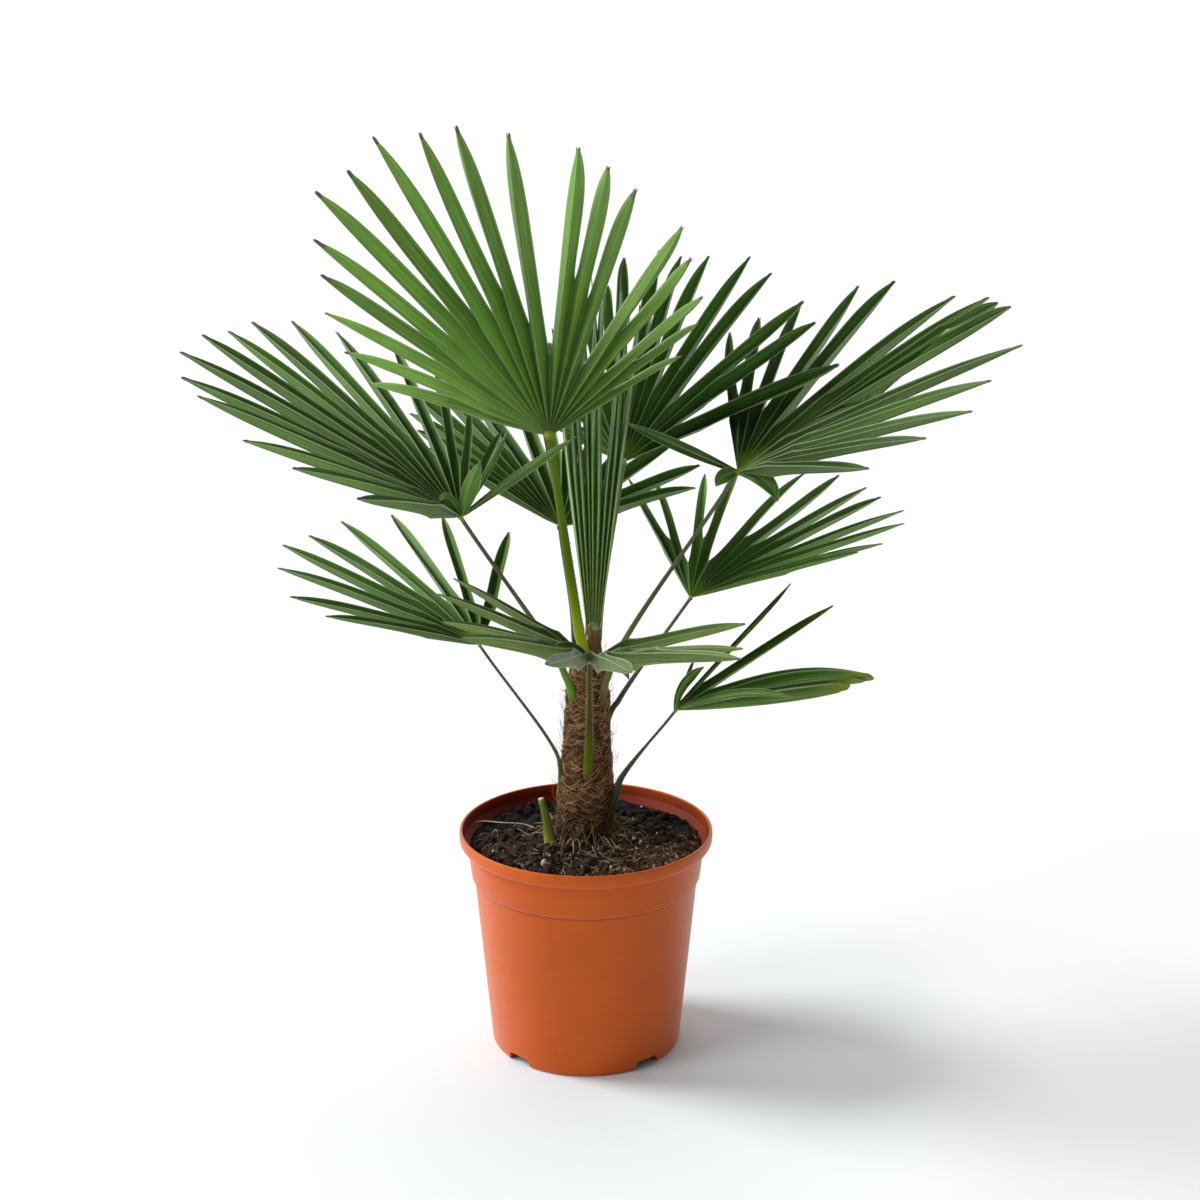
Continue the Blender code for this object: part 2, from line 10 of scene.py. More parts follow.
import bpy
import numpy as np
from bpy.props import FloatProperty, FloatVectorProperty, IntProperty, PointerProperty
from mathutils import Matrix, Vector, noise


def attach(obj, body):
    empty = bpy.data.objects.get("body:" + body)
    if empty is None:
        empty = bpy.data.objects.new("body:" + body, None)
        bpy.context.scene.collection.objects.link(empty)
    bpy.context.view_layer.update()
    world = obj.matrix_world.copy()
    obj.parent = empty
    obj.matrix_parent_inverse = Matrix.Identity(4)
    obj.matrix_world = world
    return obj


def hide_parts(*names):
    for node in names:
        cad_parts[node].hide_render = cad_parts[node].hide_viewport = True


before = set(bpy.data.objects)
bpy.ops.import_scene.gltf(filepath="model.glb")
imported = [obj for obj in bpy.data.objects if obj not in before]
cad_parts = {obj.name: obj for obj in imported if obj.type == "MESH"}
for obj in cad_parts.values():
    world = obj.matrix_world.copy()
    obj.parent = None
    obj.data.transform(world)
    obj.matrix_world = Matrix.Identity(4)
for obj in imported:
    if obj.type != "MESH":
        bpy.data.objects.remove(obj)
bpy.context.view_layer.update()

bl_info = {
    "name": "Potted windmill palm",
    "version": (1, 0, 0),
    "blender": (4, 5, 0),
    "location": "3D View > Sidebar > Palm",
    "description": "Makes the leaves, trunk, soil, pot and studio of a young windmill palm",
    "category": "Add Mesh",
}

BODY = "root"
GAP = 0.0003

# Pot
POT_HEIGHT = 0.2152
RIM_RADIUS = 0.1200
RIM_LIP = 0.0030
RIM_BAND = 0.0130
COLLAR_TOP_RADIUS = 0.1118
COLLAR_FOOT_RADIUS = 0.1085
COLLAR_STEP_HEIGHT = 0.1670
BODY_TOP_RADIUS = 0.1058
FOOT_RADIUS = 0.0905
FOOT_ROUND = 0.0018
POT_WALL = 0.0023
FOOT_RING_WIDTH = 0.0035
FOOT_PAD_RADIUS = 0.0550
FLOOR_THICKNESS = 0.0025
NOTCH_HEIGHT = 0.0090
NOTCH_TOP_WIDTH = 0.0230
NOTCH_FOOT_WIDTH = 0.0290
NOTCH_ROUND = 0.0035
NOTCH_HALF_ANGLE = 42.0
NOTCH_TURN = -2.5

# Soil
SOIL_EDGE_HEIGHT = 0.2025
SOIL_MOUND_HEIGHT = 0.2090
SOIL_LUMP = 0.0020
SOIL_LUMP_TURNS = (61.0, 73.0)
SOIL_FLAT_BEYOND_TRUNK = 0.010
SOIL_RINGS = 64
SOIL_SEGMENTS = 200
SHADED_FROM = 0.018
SHADED_SHARE = 0.75

# Trunk: its axis at foot and tip, then (height, radius) stations up from the soil
TRUNK_FOOT = (-0.001, 0.010)
TRUNK_TOP = (0.003, 0.010)
TRUNK_PROFILE = (
    (0.2090, 0.0250),
    (0.2280, 0.0262),
    (0.2480, 0.0268),
    (0.2680, 0.0245),
    (0.2880, 0.0226),
    (0.3130, 0.0214),
    (0.3390, 0.0202),
    (0.3600, 0.0182),
    (0.3780, 0.0152),
    (0.3920, 0.0110),
)

# Blades: angles in degrees, the rest as shares
PLEAT_SHARE = 1.0
PLEAT_FLATTENS = 0.45
PLEAT_ARCH = 0.92
DEEPEST_JOIN = 0.80
SHALLOWEST_JOIN = 0.18
BUNDLE_PULL = 0.5
CLOSING_POWER = 2
TURN_JITTER = 2.2
TURN_JITTER_SHARE = 0.30
REACH_JITTER = 0.06
JOINED_ROWS = 14
FREE_ROWS = 24
LEAFLET_WAIST = 0.17
LEAFLET_WAIST_RUN = 0.08
SLIMMING_RUN = 0.10
LEAFLET_SWELL = 0.30
LEAFLET_TAPER = 6.0
TIP_WIDTH = 0.24
TIP_NOTCH = 0.0035
GOLDEN_ANGLE = 137.508

# Petioles
CLASP_SHARES = (0.0, 0.15, 0.3, 0.45, 0.6, 0.8, 1.0)
CLASP_TAPER = 0.12
PETIOLE_STEPS = 36
PETIOLE_SIDES = 20
PETIOLE_TAPER_RUN = 0.625
KNOB_RATIO = 1.35
FOOT_WIDENS = {"right_low": 0.45}
KNOB_SHARES = (-0.85, -0.7, -0.5, -0.25, 0.0, 0.25, 0.5, 0.7, 0.85, 0.95, 0.99)


class Petiole(NamedTuple):
    """A leaf stalk: it clasps the trunk at an azimuth, between two heights, then runs to the blade."""

    azimuth: float
    foot: float
    clasp: float
    base_radius: float
    tip_radius: float
    rise: float = 0.8
    lean: float = 0.0


class Frond(NamedTuple):
    """One fan: its leaflets spread from the hub about an axis, between two angles.

    A bundle is a run of leaflets that cling together, out to bundle_join of their length. Closing is how
    far a bundle draws together at its tips, and towards which angle. The blade starts at the petiole's
    knob, or at start if that is further out. Slim is the width of a free leaflet, as a share of the width
    that its folds would give it. Pleat is how steep its folds are.
    """

    hub: tuple
    axis: tuple
    spread: tuple
    leaflets: int
    reach: float
    end_shares: tuple
    roundness: float
    seed: int
    roll: float = 0.0
    cup: float = 0.0
    crowding: float = 0.0
    droop: float = 0.04
    joined: float = 0.40
    bundles: tuple = ()
    bundle_join: float = 0.0
    closing: tuple = ()
    start: float = 0.0
    slim: float = 1.0
    petiole: Petiole = None
    family: str = "mature"
    pleat: float = PLEAT_SHARE


FRONDS = {
    "front_high": Frond(
        hub=(-0.0312, -0.0447, 0.6027), axis=(-105, 71), spread=(-83, 58), leaflets=19,
        reach=0.307, end_shares=(0.65, 0.48), roundness=1.8, seed=696, cup=20, crowding=0.16,
        droop=0.039, joined=0.38, petiole=Petiole(-120, 0.380, 0.406, 0.0058, 0.0038),
        family="fresh",
    ),
    "left_high": Frond(
        hub=(-0.1091, -0.0685, 0.5354), axis=(182, 35), spread=(59, -89), leaflets=15,
        reach=0.291, end_shares=(0.70, 0.53), roundness=2.5, seed=996, roll=-6, cup=18,
        crowding=0.10, droop=0.039, joined=0.31, slim=0.82,
        petiole=Petiole(-138, 0.334, 0.370, 0.0044, 0.0022, 0.42, 0.008),
    ),
    "left_low": Frond(
        hub=(-0.0980, 0.0044, 0.3944), axis=(160, 24), spread=(37, -68), leaflets=9,
        reach=0.220, end_shares=(0.68, 0.87), roundness=2.7, seed=763, roll=-5, cup=15,
        crowding=-0.22, droop=0.042, joined=0.27, slim=0.85,
        petiole=Petiole(200, 0.240, 0.280, 0.0026, 0.0018, 0.4, 0.0008),
    ),
    "front_low": Frond(
        hub=(0.0040, -0.0851, 0.4076), axis=(-100, 19), spread=(-84, 88), leaflets=9,
        reach=0.194, end_shares=(0.71, 0.74), roundness=1.9, seed=880, roll=-7, cup=27,
        crowding=-0.06, droop=0.037, joined=0.26, bundles=((2, 3), (6, 7)), slim=0.72,
        petiole=Petiole(-86, 0.266, 0.296, 0.0050, 0.0025), family="old",
    ),
    "right_high": Frond(
        hub=(0.1350, -0.0436, 0.5700), axis=(18, 33), spread=(-70, 62), leaflets=14,
        reach=0.298, end_shares=(0.64, 0.76), roundness=1.5, seed=2439, roll=5, cup=15,
        crowding=0.10, droop=0.039, joined=0.31, bundles=((5, 8),), slim=0.92,
        petiole=Petiole(-42, 0.338, 0.370, 0.0040, 0.0022, 0.53, 0.005), family="deep",
    ),
    "right_middle": Frond(
        hub=(0.0973, 0.0292, 0.4326), axis=(18, 14), spread=(-8, 83), leaflets=12,
        reach=0.290, end_shares=(0.56, 0.77), roundness=2.5, seed=119, roll=-2, cup=22,
        crowding=-0.22, droop=0.037, joined=0.34, bundles=((8, 9),), slim=0.76,
        petiole=Petiole(8, 0.316, 0.336, 0.0038, 0.0020, 0.5, 0.004), family="lively",
    ),
    "right_low": Frond(
        hub=(0.0823, -0.0286, 0.3417), axis=(-20, 15), spread=(3, 77), leaflets=7,
        reach=0.192, end_shares=(0.85, 0.30), roundness=4.2, seed=1771, roll=1, cup=47,
        crowding=-0.50, droop=0.029, joined=0.22, bundles=((0, 3),), bundle_join=0.93,
        closing=(0.93, 6.0),
        petiole=Petiole(-21, 0.2095, 0.259, 0.0050, 0.0018, 0.4, 0.0014), family="lowest",
    ),
    "back_right": Frond(
        hub=(0.0337, 0.0506, 0.5567), axis=(51, 56), spread=(72, -51), leaflets=16,
        reach=0.237, end_shares=(0.60, 0.93), roundness=2.1, seed=150, roll=-1, cup=-6,
        crowding=-0.28, droop=0.045, joined=0.42,
        petiole=Petiole(55, 0.356, 0.398, 0.0042, 0.0034), family="deep",
    ),
    "back_left": Frond(
        hub=(-0.0235, 0.0695, 0.4906), axis=(126, 33), spread=(42, -89), leaflets=14,
        reach=0.236, end_shares=(0.64, 0.66), roundness=2.1, seed=206, roll=6, cup=17,
        crowding=-0.13, droop=0.041, joined=0.42,
        petiole=Petiole(155, 0.356, 0.398, 0.0031, 0.0030, 0.8, 0.0014),
    ),
}

SPEAR_FOOT = (0.0056, 0.0104)
SPEAR_STEM_RADIUS = 0.0042
SPEAR = Frond(
    hub=(0.0070, 0.0112, 0.3550), axis=(-90, 89), spread=(-6.6, 6.6), leaflets=9,
    reach=0.392, end_shares=(0.90, 0.94), roundness=2.0, seed=20, droop=0.0, joined=0.55,
    start=0.062, family="closed", pleat=1.7,
)

STUB_FOOT = (-0.0330, -0.0140)
STUB_TIP = (-0.0420, -0.0100, 0.2480)
STUB_FOOT_RADIUS = 0.0058
STUB_TIP_RADIUS = 0.0030


class Stray(NamedTuple):
    """A small leaflet beside a hub that bends away from its fan: knots of its rib, and its width."""

    frond: str
    bend: tuple
    tip: tuple
    width: float
    facing: tuple
    tone: int = 0


STRAYS = (
    Stray("left_high", (-0.1018, -0.0850, 0.5622), (-0.0904, -0.0800, 0.5882), 0.0125, (0.3, 1.0, 0.1), 2),
    Stray("left_high", (-0.0834, -0.0750, 0.5799), (-0.0673, -0.0750, 0.6128), 0.0060, (0.7, -0.5, 0.5)),
    Stray("left_high", (-0.0581, -0.0880, 0.5785), (-0.0065, -0.0870, 0.6118), 0.0072, (0.2, 0.9, -0.3), 0),
    Stray("left_high", (-0.1202, -0.0880, 0.5643), (-0.1272, -0.0800, 0.5498), 0.0090, (0.0, 1.0, -0.2), 2),
    Stray("right_high", (0.0874, -0.0600, 0.5944), (0.0338, -0.0620, 0.6189), 0.0085, (-0.2, -1.0, 0.4)),
    Stray("right_high", (0.1599, -0.0660, 0.5743), (0.1692, -0.0720, 0.5501), 0.0125, (0.3, -1.0, 0.2), 2),
    Stray("right_high", (0.1210, -0.0580, 0.5724), (0.1152, -0.0620, 0.5612), 0.0110, (-0.2, -1.0, 0.2), 2),
    Stray("front_low", (-0.0139, -0.1040, 0.4365), (-0.0374, -0.1140, 0.4197), 0.0085, (-0.2, 1.0, 0.2), 1),
    Stray("front_low", (0.0282, -0.1080, 0.4242), (0.0385, -0.1260, 0.4040), 0.0098, (0.2, 1.0, 0.1), 1),
    Stray("right_low", (0.0834, -0.0420, 0.3780), (0.1079, -0.0400, 0.3874), 0.0110, (0.8, -1.0, 0.0)),
    Stray("right_low", (0.1368, -0.0620, 0.3760), (0.1839, -0.0920, 0.3762), 0.0090, (0.0, -0.6, 1.0), 1),
)


def srgb(red, green, blue):
    """A colour written as on a screen, from 0 to 255, in the renderer's own linear units."""
    made = []
    for value in (red, green, blue):
        share = value / 255
        made.append(share / 12.92 if share <= 0.04045 else ((share + 0.055) / 1.055) ** 2.4)
    return (*made, 1.0)


def colour_property(name, description, default):
    return FloatVectorProperty(
        name=name, description=description, default=default, size=4, min=0.0, max=1.0, subtype="COLOR"
    )


def length_property(name, description, default):
    return FloatProperty(name=name, description=description, default=default, min=0.0, unit="LENGTH")


class PotSettings(bpy.types.PropertyGroup):
    """Sizes and colours of the nursery pot."""

    colour: colour_property("Plastic", "The pot's outer colour", srgb(199, 85, 12))
    # The inner wall is darker than the plastic: painted shade inside the pot, with soil stains.
    shade_and_stain_colour: colour_property("Inner wall", "The soiled inner wall", srgb(112, 26, 5))
    segments: IntProperty(name="Segments", description="Steps round the pot", default=192, min=24)


class SoilSettings(bpy.types.PropertyGroup):
    """Sizes and colours of the potting soil and what lies on it."""

    colour: colour_property("Soil", "Moist potting soil", srgb(46, 32, 18))
    crumb_colour: colour_property("Crumbs", "Drier crumbs on the soil", srgb(104, 82, 54))
    perlite_colour: colour_property("Perlite", "Pale grains in the soil", srgb(214, 204, 188))
    root_colour: colour_property("Roots", "Pale root threads", srgb(186, 166, 138))
    chip_colour: colour_property("Chips", "Bits of straw and bark", srgb(140, 120, 88))
    crumbs: IntProperty(name="Crumbs", description="Number of crumbs", default=3600, min=0)
    crumb_size: length_property("Crumb size", "Largest crumb radius", 0.0021)


class TrunkSettings(bpy.types.PropertyGroup):
    """Sizes and colours of the fibrous trunk."""

    colour: colour_property("Bark", "Brown under the fibres", srgb(71, 45, 28))
    fibre_dark: colour_property("Dark fibres", "Old fibres", srgb(86, 56, 36))
    fibre_tan: colour_property("Tan fibres", "Fibres in between", srgb(171, 125, 78))
    fibre_pale: colour_property("Pale fibres", "Young fibres", srgb(208, 173, 120))
    sheath_colour: colour_property("Sheath", "Papery sheath at the top", srgb(144, 105, 62))
    patches: IntProperty(name="Patches", description="Groups of fibres", default=430, min=1)
    fibre_radius: length_property("Fibre radius", "Half a fibre's thickness", 0.00029)


class LeafSettings(bpy.types.PropertyGroup):
    """Sizes and colours of the fronds."""

    thickness: length_property("Thickness", "Thickness of a leaflet", 0.0005)
    rib_width: length_property("Rib width", "Half the width of a leaflet's rib at the hub", 0.0006)
    rib_height: length_property("Rib height", "How far a rib stands out below the leaflet", 0.0010)
    fresh: colour_property("Fresh leaves", "The newest open frond", srgb(101, 150, 50))
    mature: colour_property("Mature leaves", "Most of the fronds", srgb(65, 109, 24))
    # A lighter copy of the green: painted light for the middle frond on the right.
    lively: colour_property("Lively leaves", "The middle frond on the right", srgb(85, 135, 34))
    # A darker copy of the green: painted shade for the fronds on the right and at the back.
    deep: colour_property("Deep green leaves", "The right and back fronds", srgb(52, 92, 14))
    lowest: colour_property("Lowest leaves", "The lowest frond on the right", srgb(78, 123, 24))
    yellow_tip: colour_property("Yellowing tip", "The end of the lowest frond", srgb(114, 129, 18))
    old: colour_property("Old leaves", "The lowest front frond", srgb(88, 116, 46))
    closed: colour_property("Closed leaf", "The spear", srgb(152, 182, 142))
    under: colour_property("Undersides", "The bloom under the leaflets", srgb(139, 164, 93))
    rib: colour_property("Ribs", "Raised ribs under the leaflets", srgb(131, 161, 87))
    dry_tip: colour_property("Dry tips", "Dried ends of leaflets", srgb(104, 104, 80))


class StudioSettings(bpy.types.PropertyGroup):
    """The floor and the lights."""

    floor_colour: colour_property("Floor", "Pale studio floor", (0.925, 0.94, 0.945, 1.0))
    near_colour: colour_property("Floor near the pot", "It evens out the pot's glow", (0.815, 0.90, 0.93, 1.0))
    key_strength: FloatProperty(name="Key light", description="Strength of the keys", default=1.0, min=0.0)
    soft_strength: FloatProperty(name="Soft light", description="Scales the soft boxes", default=1.0, min=0.0)


class PalmSettings(bpy.types.PropertyGroup):
    """All the settings of the palm."""

    pot: PointerProperty(type=PotSettings)
    soil: PointerProperty(type=SoilSettings)
    trunk: PointerProperty(type=TrunkSettings)
    leaf: PointerProperty(type=LeafSettings)
    studio: PointerProperty(type=StudioSettings)


class Graph:
    """Short ways to add nodes to a material or a Geometry Nodes tree and join them."""

    def __init__(self, tree):
        self.tree = tree

    def add(self, kind, inputs=None, **settings):
        node = self.tree.nodes.new(kind)
        for name, value in settings.items():
            setattr(node, name, value)
        for name, value in (inputs or {}).items():
            socket = node.inputs[name]
            if isinstance(value, bpy.types.NodeSocket):
                self.tree.links.new(value, socket)
            else:
                socket.default_value = value
        return node

    def noise(self, vector, scale, detail=4.0, roughness=0.55, distortion=0.0):
        values = {
            "Vector": vector, "Scale": scale, "Detail": detail,
            "Roughness": roughness, "Distortion": distortion,
        }
        return self.add("ShaderNodeTexNoise", values).outputs["Fac"]

    def spread(self, value, low, high, to_low=0.0, to_high=1.0):
        """The value from low to high, stretched to another range and held within it."""
        values = {"Value": value, "From Min": low, "From Max": high, "To Min": to_low, "To Max": to_high}
        return self.add("ShaderNodeMapRange", values).outputs["Result"]

    def math(self, operation, first, second=0.0):
        return self.add("ShaderNodeMath", {0: first, 1: second}, operation=operation).outputs[0]

    def blend(self, share, first, second, kind="MIX"):
        node = self.add("ShaderNodeMix", {0: share, 6: first, 7: second}, data_type="RGBA", blend_type=kind)
        return node.outputs[2]

    def stretched(self, vector, scale):
        return self.add("ShaderNodeMapping", {"Vector": vector, "Scale": scale}).outputs["Vector"]

    def bump(self, height, strength, distance):
        values = {"Height": height, "Strength": strength, "Distance": distance}
        return self.add("ShaderNodeBump", values).outputs["Normal"]


def new_finish(name):
    """A material with its shader, its graph and the point on the object, ready for a pattern."""
    made = bpy.data.materials.new(name)
    made.use_nodes = True
    graph = Graph(made.node_tree)
    shader = made.node_tree.nodes["Principled BSDF"]
    place = graph.add("ShaderNodeTexCoord").outputs["Object"]
    return made, graph, shader, place


def dress(graph, shader, colour=None, roughness=None, normal=None):
    """Links a finish's patterns to its shader."""
    for name, value in (("Base Color", colour), ("Roughness", roughness), ("Normal", normal)):
        if isinstance(value, bpy.types.NodeSocket):
            graph.tree.links.new(value, shader.inputs[name])
        elif value is not None:
            shader.inputs[name].default_value = value


def shade(colour, share):
    """A lighter or darker colour of the same hue."""
    return (*(min(1.0, value * share) for value in colour[:3]), 1.0)


def between(first, second, share):
    """A colour on the way from the first to the second."""
    return (*(a + (b - a) * share for a, b in zip(first[:3], second[:3])), 1.0)


def plastic_finish(pot):
    """Satin nursery-pot plastic: faint mottling, pale scuffs and a thin line of painted shade under the collar's
    step.
    """
    made, graph, shader, place = new_finish("pot_plastic")
    cloud = graph.noise(place, 9.0, 3.0)
    speck = graph.noise(place, 900.0, 2.0)
    scuff = graph.noise(graph.stretched(place, (60.0, 60.0, 420.0)), 1.0, 5.0, 0.7, 0.6)
    body = graph.blend(graph.spread(cloud, 0.35, 0.65), shade(pot.colour, 0.93), shade(pot.colour, 1.06))
    dusty = graph.math("MULTIPLY", graph.spread(scuff, 0.62, 0.74), 0.22)
    body = graph.blend(dusty, body, srgb(226, 168, 134))
    # Painted shade: a thin dark line under the collar's step, where its ledge is in shade.
    height = graph.add("ShaderNodeSeparateXYZ", {"Vector": place}).outputs["Z"]
    off_step_shade = graph.math("ABSOLUTE", graph.math("SUBTRACT", height, COLLAR_STEP_HEIGHT))
    body = graph.blend(graph.spread(off_step_shade, 0.0016, 0.0008, 0.0, 0.55), body, shade(pot.colour, 0.30))
    roughness = graph.spread(cloud, 0.3, 0.7, 0.38, 0.48)
    dress(graph, shader, body, roughness, graph.bump(speck, 0.10, 0.0002))
    shader.inputs["Specular IOR Level"].default_value = 0.30
    shader.inputs["Specular Tint"].default_value = (1.0, 0.85, 0.68, 1.0)
    shader.inputs["Sheen Weight"].default_value = 0.28
    shader.inputs["Sheen Roughness"].default_value = 0.4
    shader.inputs["Sheen Tint"].default_value = (1.0, 0.86, 0.82, 1.0)
    return made


def inner_finish(pot):
    """The pot's inner wall: the same plastic, darker as painted shade and stained by wet soil, with painted light
    towards the right and the lip.
    """
    made, graph, shader, place = new_finish("pot_inner_wall")
    apart = graph.add("ShaderNodeSeparateXYZ", {"Vector": place}).outputs
    stain = graph.noise(place, 38.0, 5.0, 0.65)
    rising = graph.math("ADD", apart["Z"], graph.math("MULTIPLY", stain, 0.010))
    # Painted light: the wall is lighter towards the lip and towards the right, where light falls into the pot.
    painted_light_share = graph.math("ADD", graph.math("MULTIPLY", graph.spread(rising, 0.209, 0.220), 0.7),
                       graph.spread(apart["X"], -0.08, 0.10, -0.15, 0.25))
    body = graph.blend(painted_light_share, pot.shade_and_stain_colour, shade(pot.colour, 0.7))
    body = graph.blend(graph.spread(stain, 0.58, 0.75, 0.0, 0.5), body, shade(pot.shade_and_stain_colour, 0.3))
    dress(graph, shader, body, 0.6, graph.bump(stain, 0.15, 0.0004))
    shader.inputs["Specular IOR Level"].default_value = 0.15
    return made


def soil_finish(name, colour, light_share=1.9):
    """Moist, crumbly soil with paler fibres in it, lighter towards the right and darker towards the back as painted
    shade.
    """
    made, graph, shader, place = new_finish(name)
    clod = graph.noise(place, 160.0, 6.0, 0.7)
    patch = graph.noise(place, 22.0, 3.0)
    thread = graph.noise(graph.stretched(place, (90.0, 420.0, 200.0)), 2.0, 3.0, 0.6, 1.2)
    ground = graph.blend(graph.spread(clod, 0.38, 0.66), shade(colour, 0.22), shade(colour, 1.6))
    ground = graph.blend(graph.math("MULTIPLY", graph.spread(patch, 0.45, 0.7), 0.5), ground,
                         shade(colour, light_share))
    ground = graph.blend(graph.math("MULTIPLY", graph.spread(thread, 0.66, 0.72), 0.6), ground,
                         srgb(128, 96, 66))
    apart = graph.add("ShaderNodeSeparateXYZ", {"Vector": place}).outputs
    # Lighter towards the right.
    ground = graph.blend(graph.spread(apart["X"], 0.0, 0.06, 0.0, 0.85), ground,
                         graph.blend(1.0, ground, (2.4, 2.3, 2.1, 1.0), "MULTIPLY"))
    # Painted shade: much darker towards the back, where the pot's wall and the trunk shade the soil.
    ground = graph.blend(graph.spread(apart["Y"], -0.005, 0.034, 0.0, 0.94), ground, srgb(8, 6, 3))
    roughness = graph.spread(clod, 0.3, 0.7, 0.78, 0.98)
    dress(graph, shader, ground, roughness, graph.bump(clod, 0.6, 0.0012))
    shader.inputs["Specular IOR Level"].default_value = 0.25
    return made


def darker_foot(graph, place, tint):
    """Darker where the trunk meets the soil, at full colour further up."""
    height = graph.add("ShaderNodeSeparateXYZ", {"Vector": place}).outputs["Z"]
    return graph.blend(graph.spread(height, 0.262, 0.212, 0.0, 0.6), tint, srgb(34, 20, 12))


def fibre_finish(name, colour, roughness=0.72, on_trunk=False):
    """Dry plant fibre: streaks of lighter and darker brown."""
    made, graph, shader, place = new_finish(name)
    streak = graph.noise(graph.stretched(place, (600.0, 600.0, 90.0)), 1.0, 3.0)
    cloud = graph.noise(place, 60.0, 2.0)
    tint = graph.blend(graph.spread(streak, 0.3, 0.7), shade(colour, 0.72), shade(colour, 1.28))
    tint = graph.blend(graph.math("MULTIPLY", graph.spread(cloud, 0.4, 0.7), 0.35), tint, shade(colour, 0.6))
    if on_trunk:
        tint = darker_foot(graph, place, tint)
    dress(graph, shader, tint, roughness, graph.bump(streak, 0.25, 0.0002))
    shader.inputs["Specular IOR Level"].default_value = 0.3
    return made


def bark_finish(trunk):
    """The woven mat under the fibres: crossing dark and light threads."""
    made, graph, shader, place = new_finish("trunk_mat")
    rising = graph.noise(graph.stretched(place, (520.0, 520.0, 130.0)), 1.0, 4.0, 0.65, 0.8)
    turned = graph.add("ShaderNodeMapping", {"Vector": place, "Rotation": (0.0, 0.9, 0.6),
                                             "Scale": (480.0, 480.0, 110.0)}).outputs["Vector"]
    crossing = graph.noise(turned, 1.0, 4.0, 0.65, 0.8)
    weave = graph.math("MAXIMUM", rising, crossing)
    tint = graph.blend(graph.spread(weave, 0.42, 0.72), shade(trunk.colour, 0.42), shade(trunk.colour, 1.55))
    tint = darker_foot(graph, place, tint)
    dress(graph, shader, tint, 0.9, graph.bump(weave, 0.8, 0.0012))
    shader.inputs["Specular IOR Level"].default_value = 0.2
    return made


def grain_finish(name, colour):
    """Porous pale grain."""
    made, graph, shader, place = new_finish(name)
    pore = graph.noise(place, 1400.0, 4.0, 0.7)
    tint = graph.blend(graph.spread(pore, 0.35, 0.65), shade(colour, 0.7), colour)
    dress(graph, shader, tint, 0.85, graph.bump(pore, 0.5, 0.0004))
    return made


KNOB_COLOUR = srgb(156, 178, 35)


def stalk_finish(name, foot_colour, top_colour, seam_colour=None):
    """A petiole: brown where it leaves the fibres, then green, with fine long streaks."""
    made, graph, shader, place = new_finish(name)
    run = graph.add("ShaderNodeAttribute", attribute_name="run").outputs["Fac"]
    across = graph.add("ShaderNodeAttribute", attribute_name="round").outputs["Fac"]
    line = graph.add("ShaderNodeCombineXYZ", {"X": graph.math("MULTIPLY", across, 26.0),
                                              "Y": graph.math("MULTIPLY", run, 3.0)}).outputs[0]
    streak = graph.noise(line, 1.0, 4.0, 0.6)
    speck = graph.noise(place, 240.0, 3.0)
    tint = graph.blend(graph.spread(run, 0.12, 0.42), foot_colour, top_colour)
    tint = graph.blend(graph.math("MULTIPLY", graph.spread(streak, 0.35, 0.7), 0.45), tint,
                       graph.blend(0.5, tint, shade(top_colour, 1.7)))
    tint = graph.blend(graph.math("MULTIPLY", graph.spread(speck, 0.62, 0.72), 0.35), tint,
                       srgb(92, 74, 40))
    tint = graph.blend(graph.spread(run, 0.08, 0.0), tint, seam_colour or srgb(84, 70, 34))
    tint = graph.blend(graph.math("MULTIPLY", graph.spread(run, 0.965, 0.99), 0.7), tint, KNOB_COLOUR)
    roughness = graph.spread(streak, 0.3, 0.7, 0.36, 0.5)
    dress(graph, shader, tint, roughness, graph.bump(streak, 0.2, 0.0004))
    shader.inputs["Specular IOR Level"].default_value = 0.12
    return made


# A pale grey-green painted highlight, which stands in for glints on the leaflets.
LEAF_GLINT = srgb(196, 212, 168)
LEAF_BASE = srgb(142, 171, 36)
SPEAR_BASE = srgb(168, 186, 120)
# Pale edge colour: a dry margin with a painted highlight.
LEAF_EDGE = srgb(158, 172, 128)
FOLD_SHADE_DEPTH = 0.85


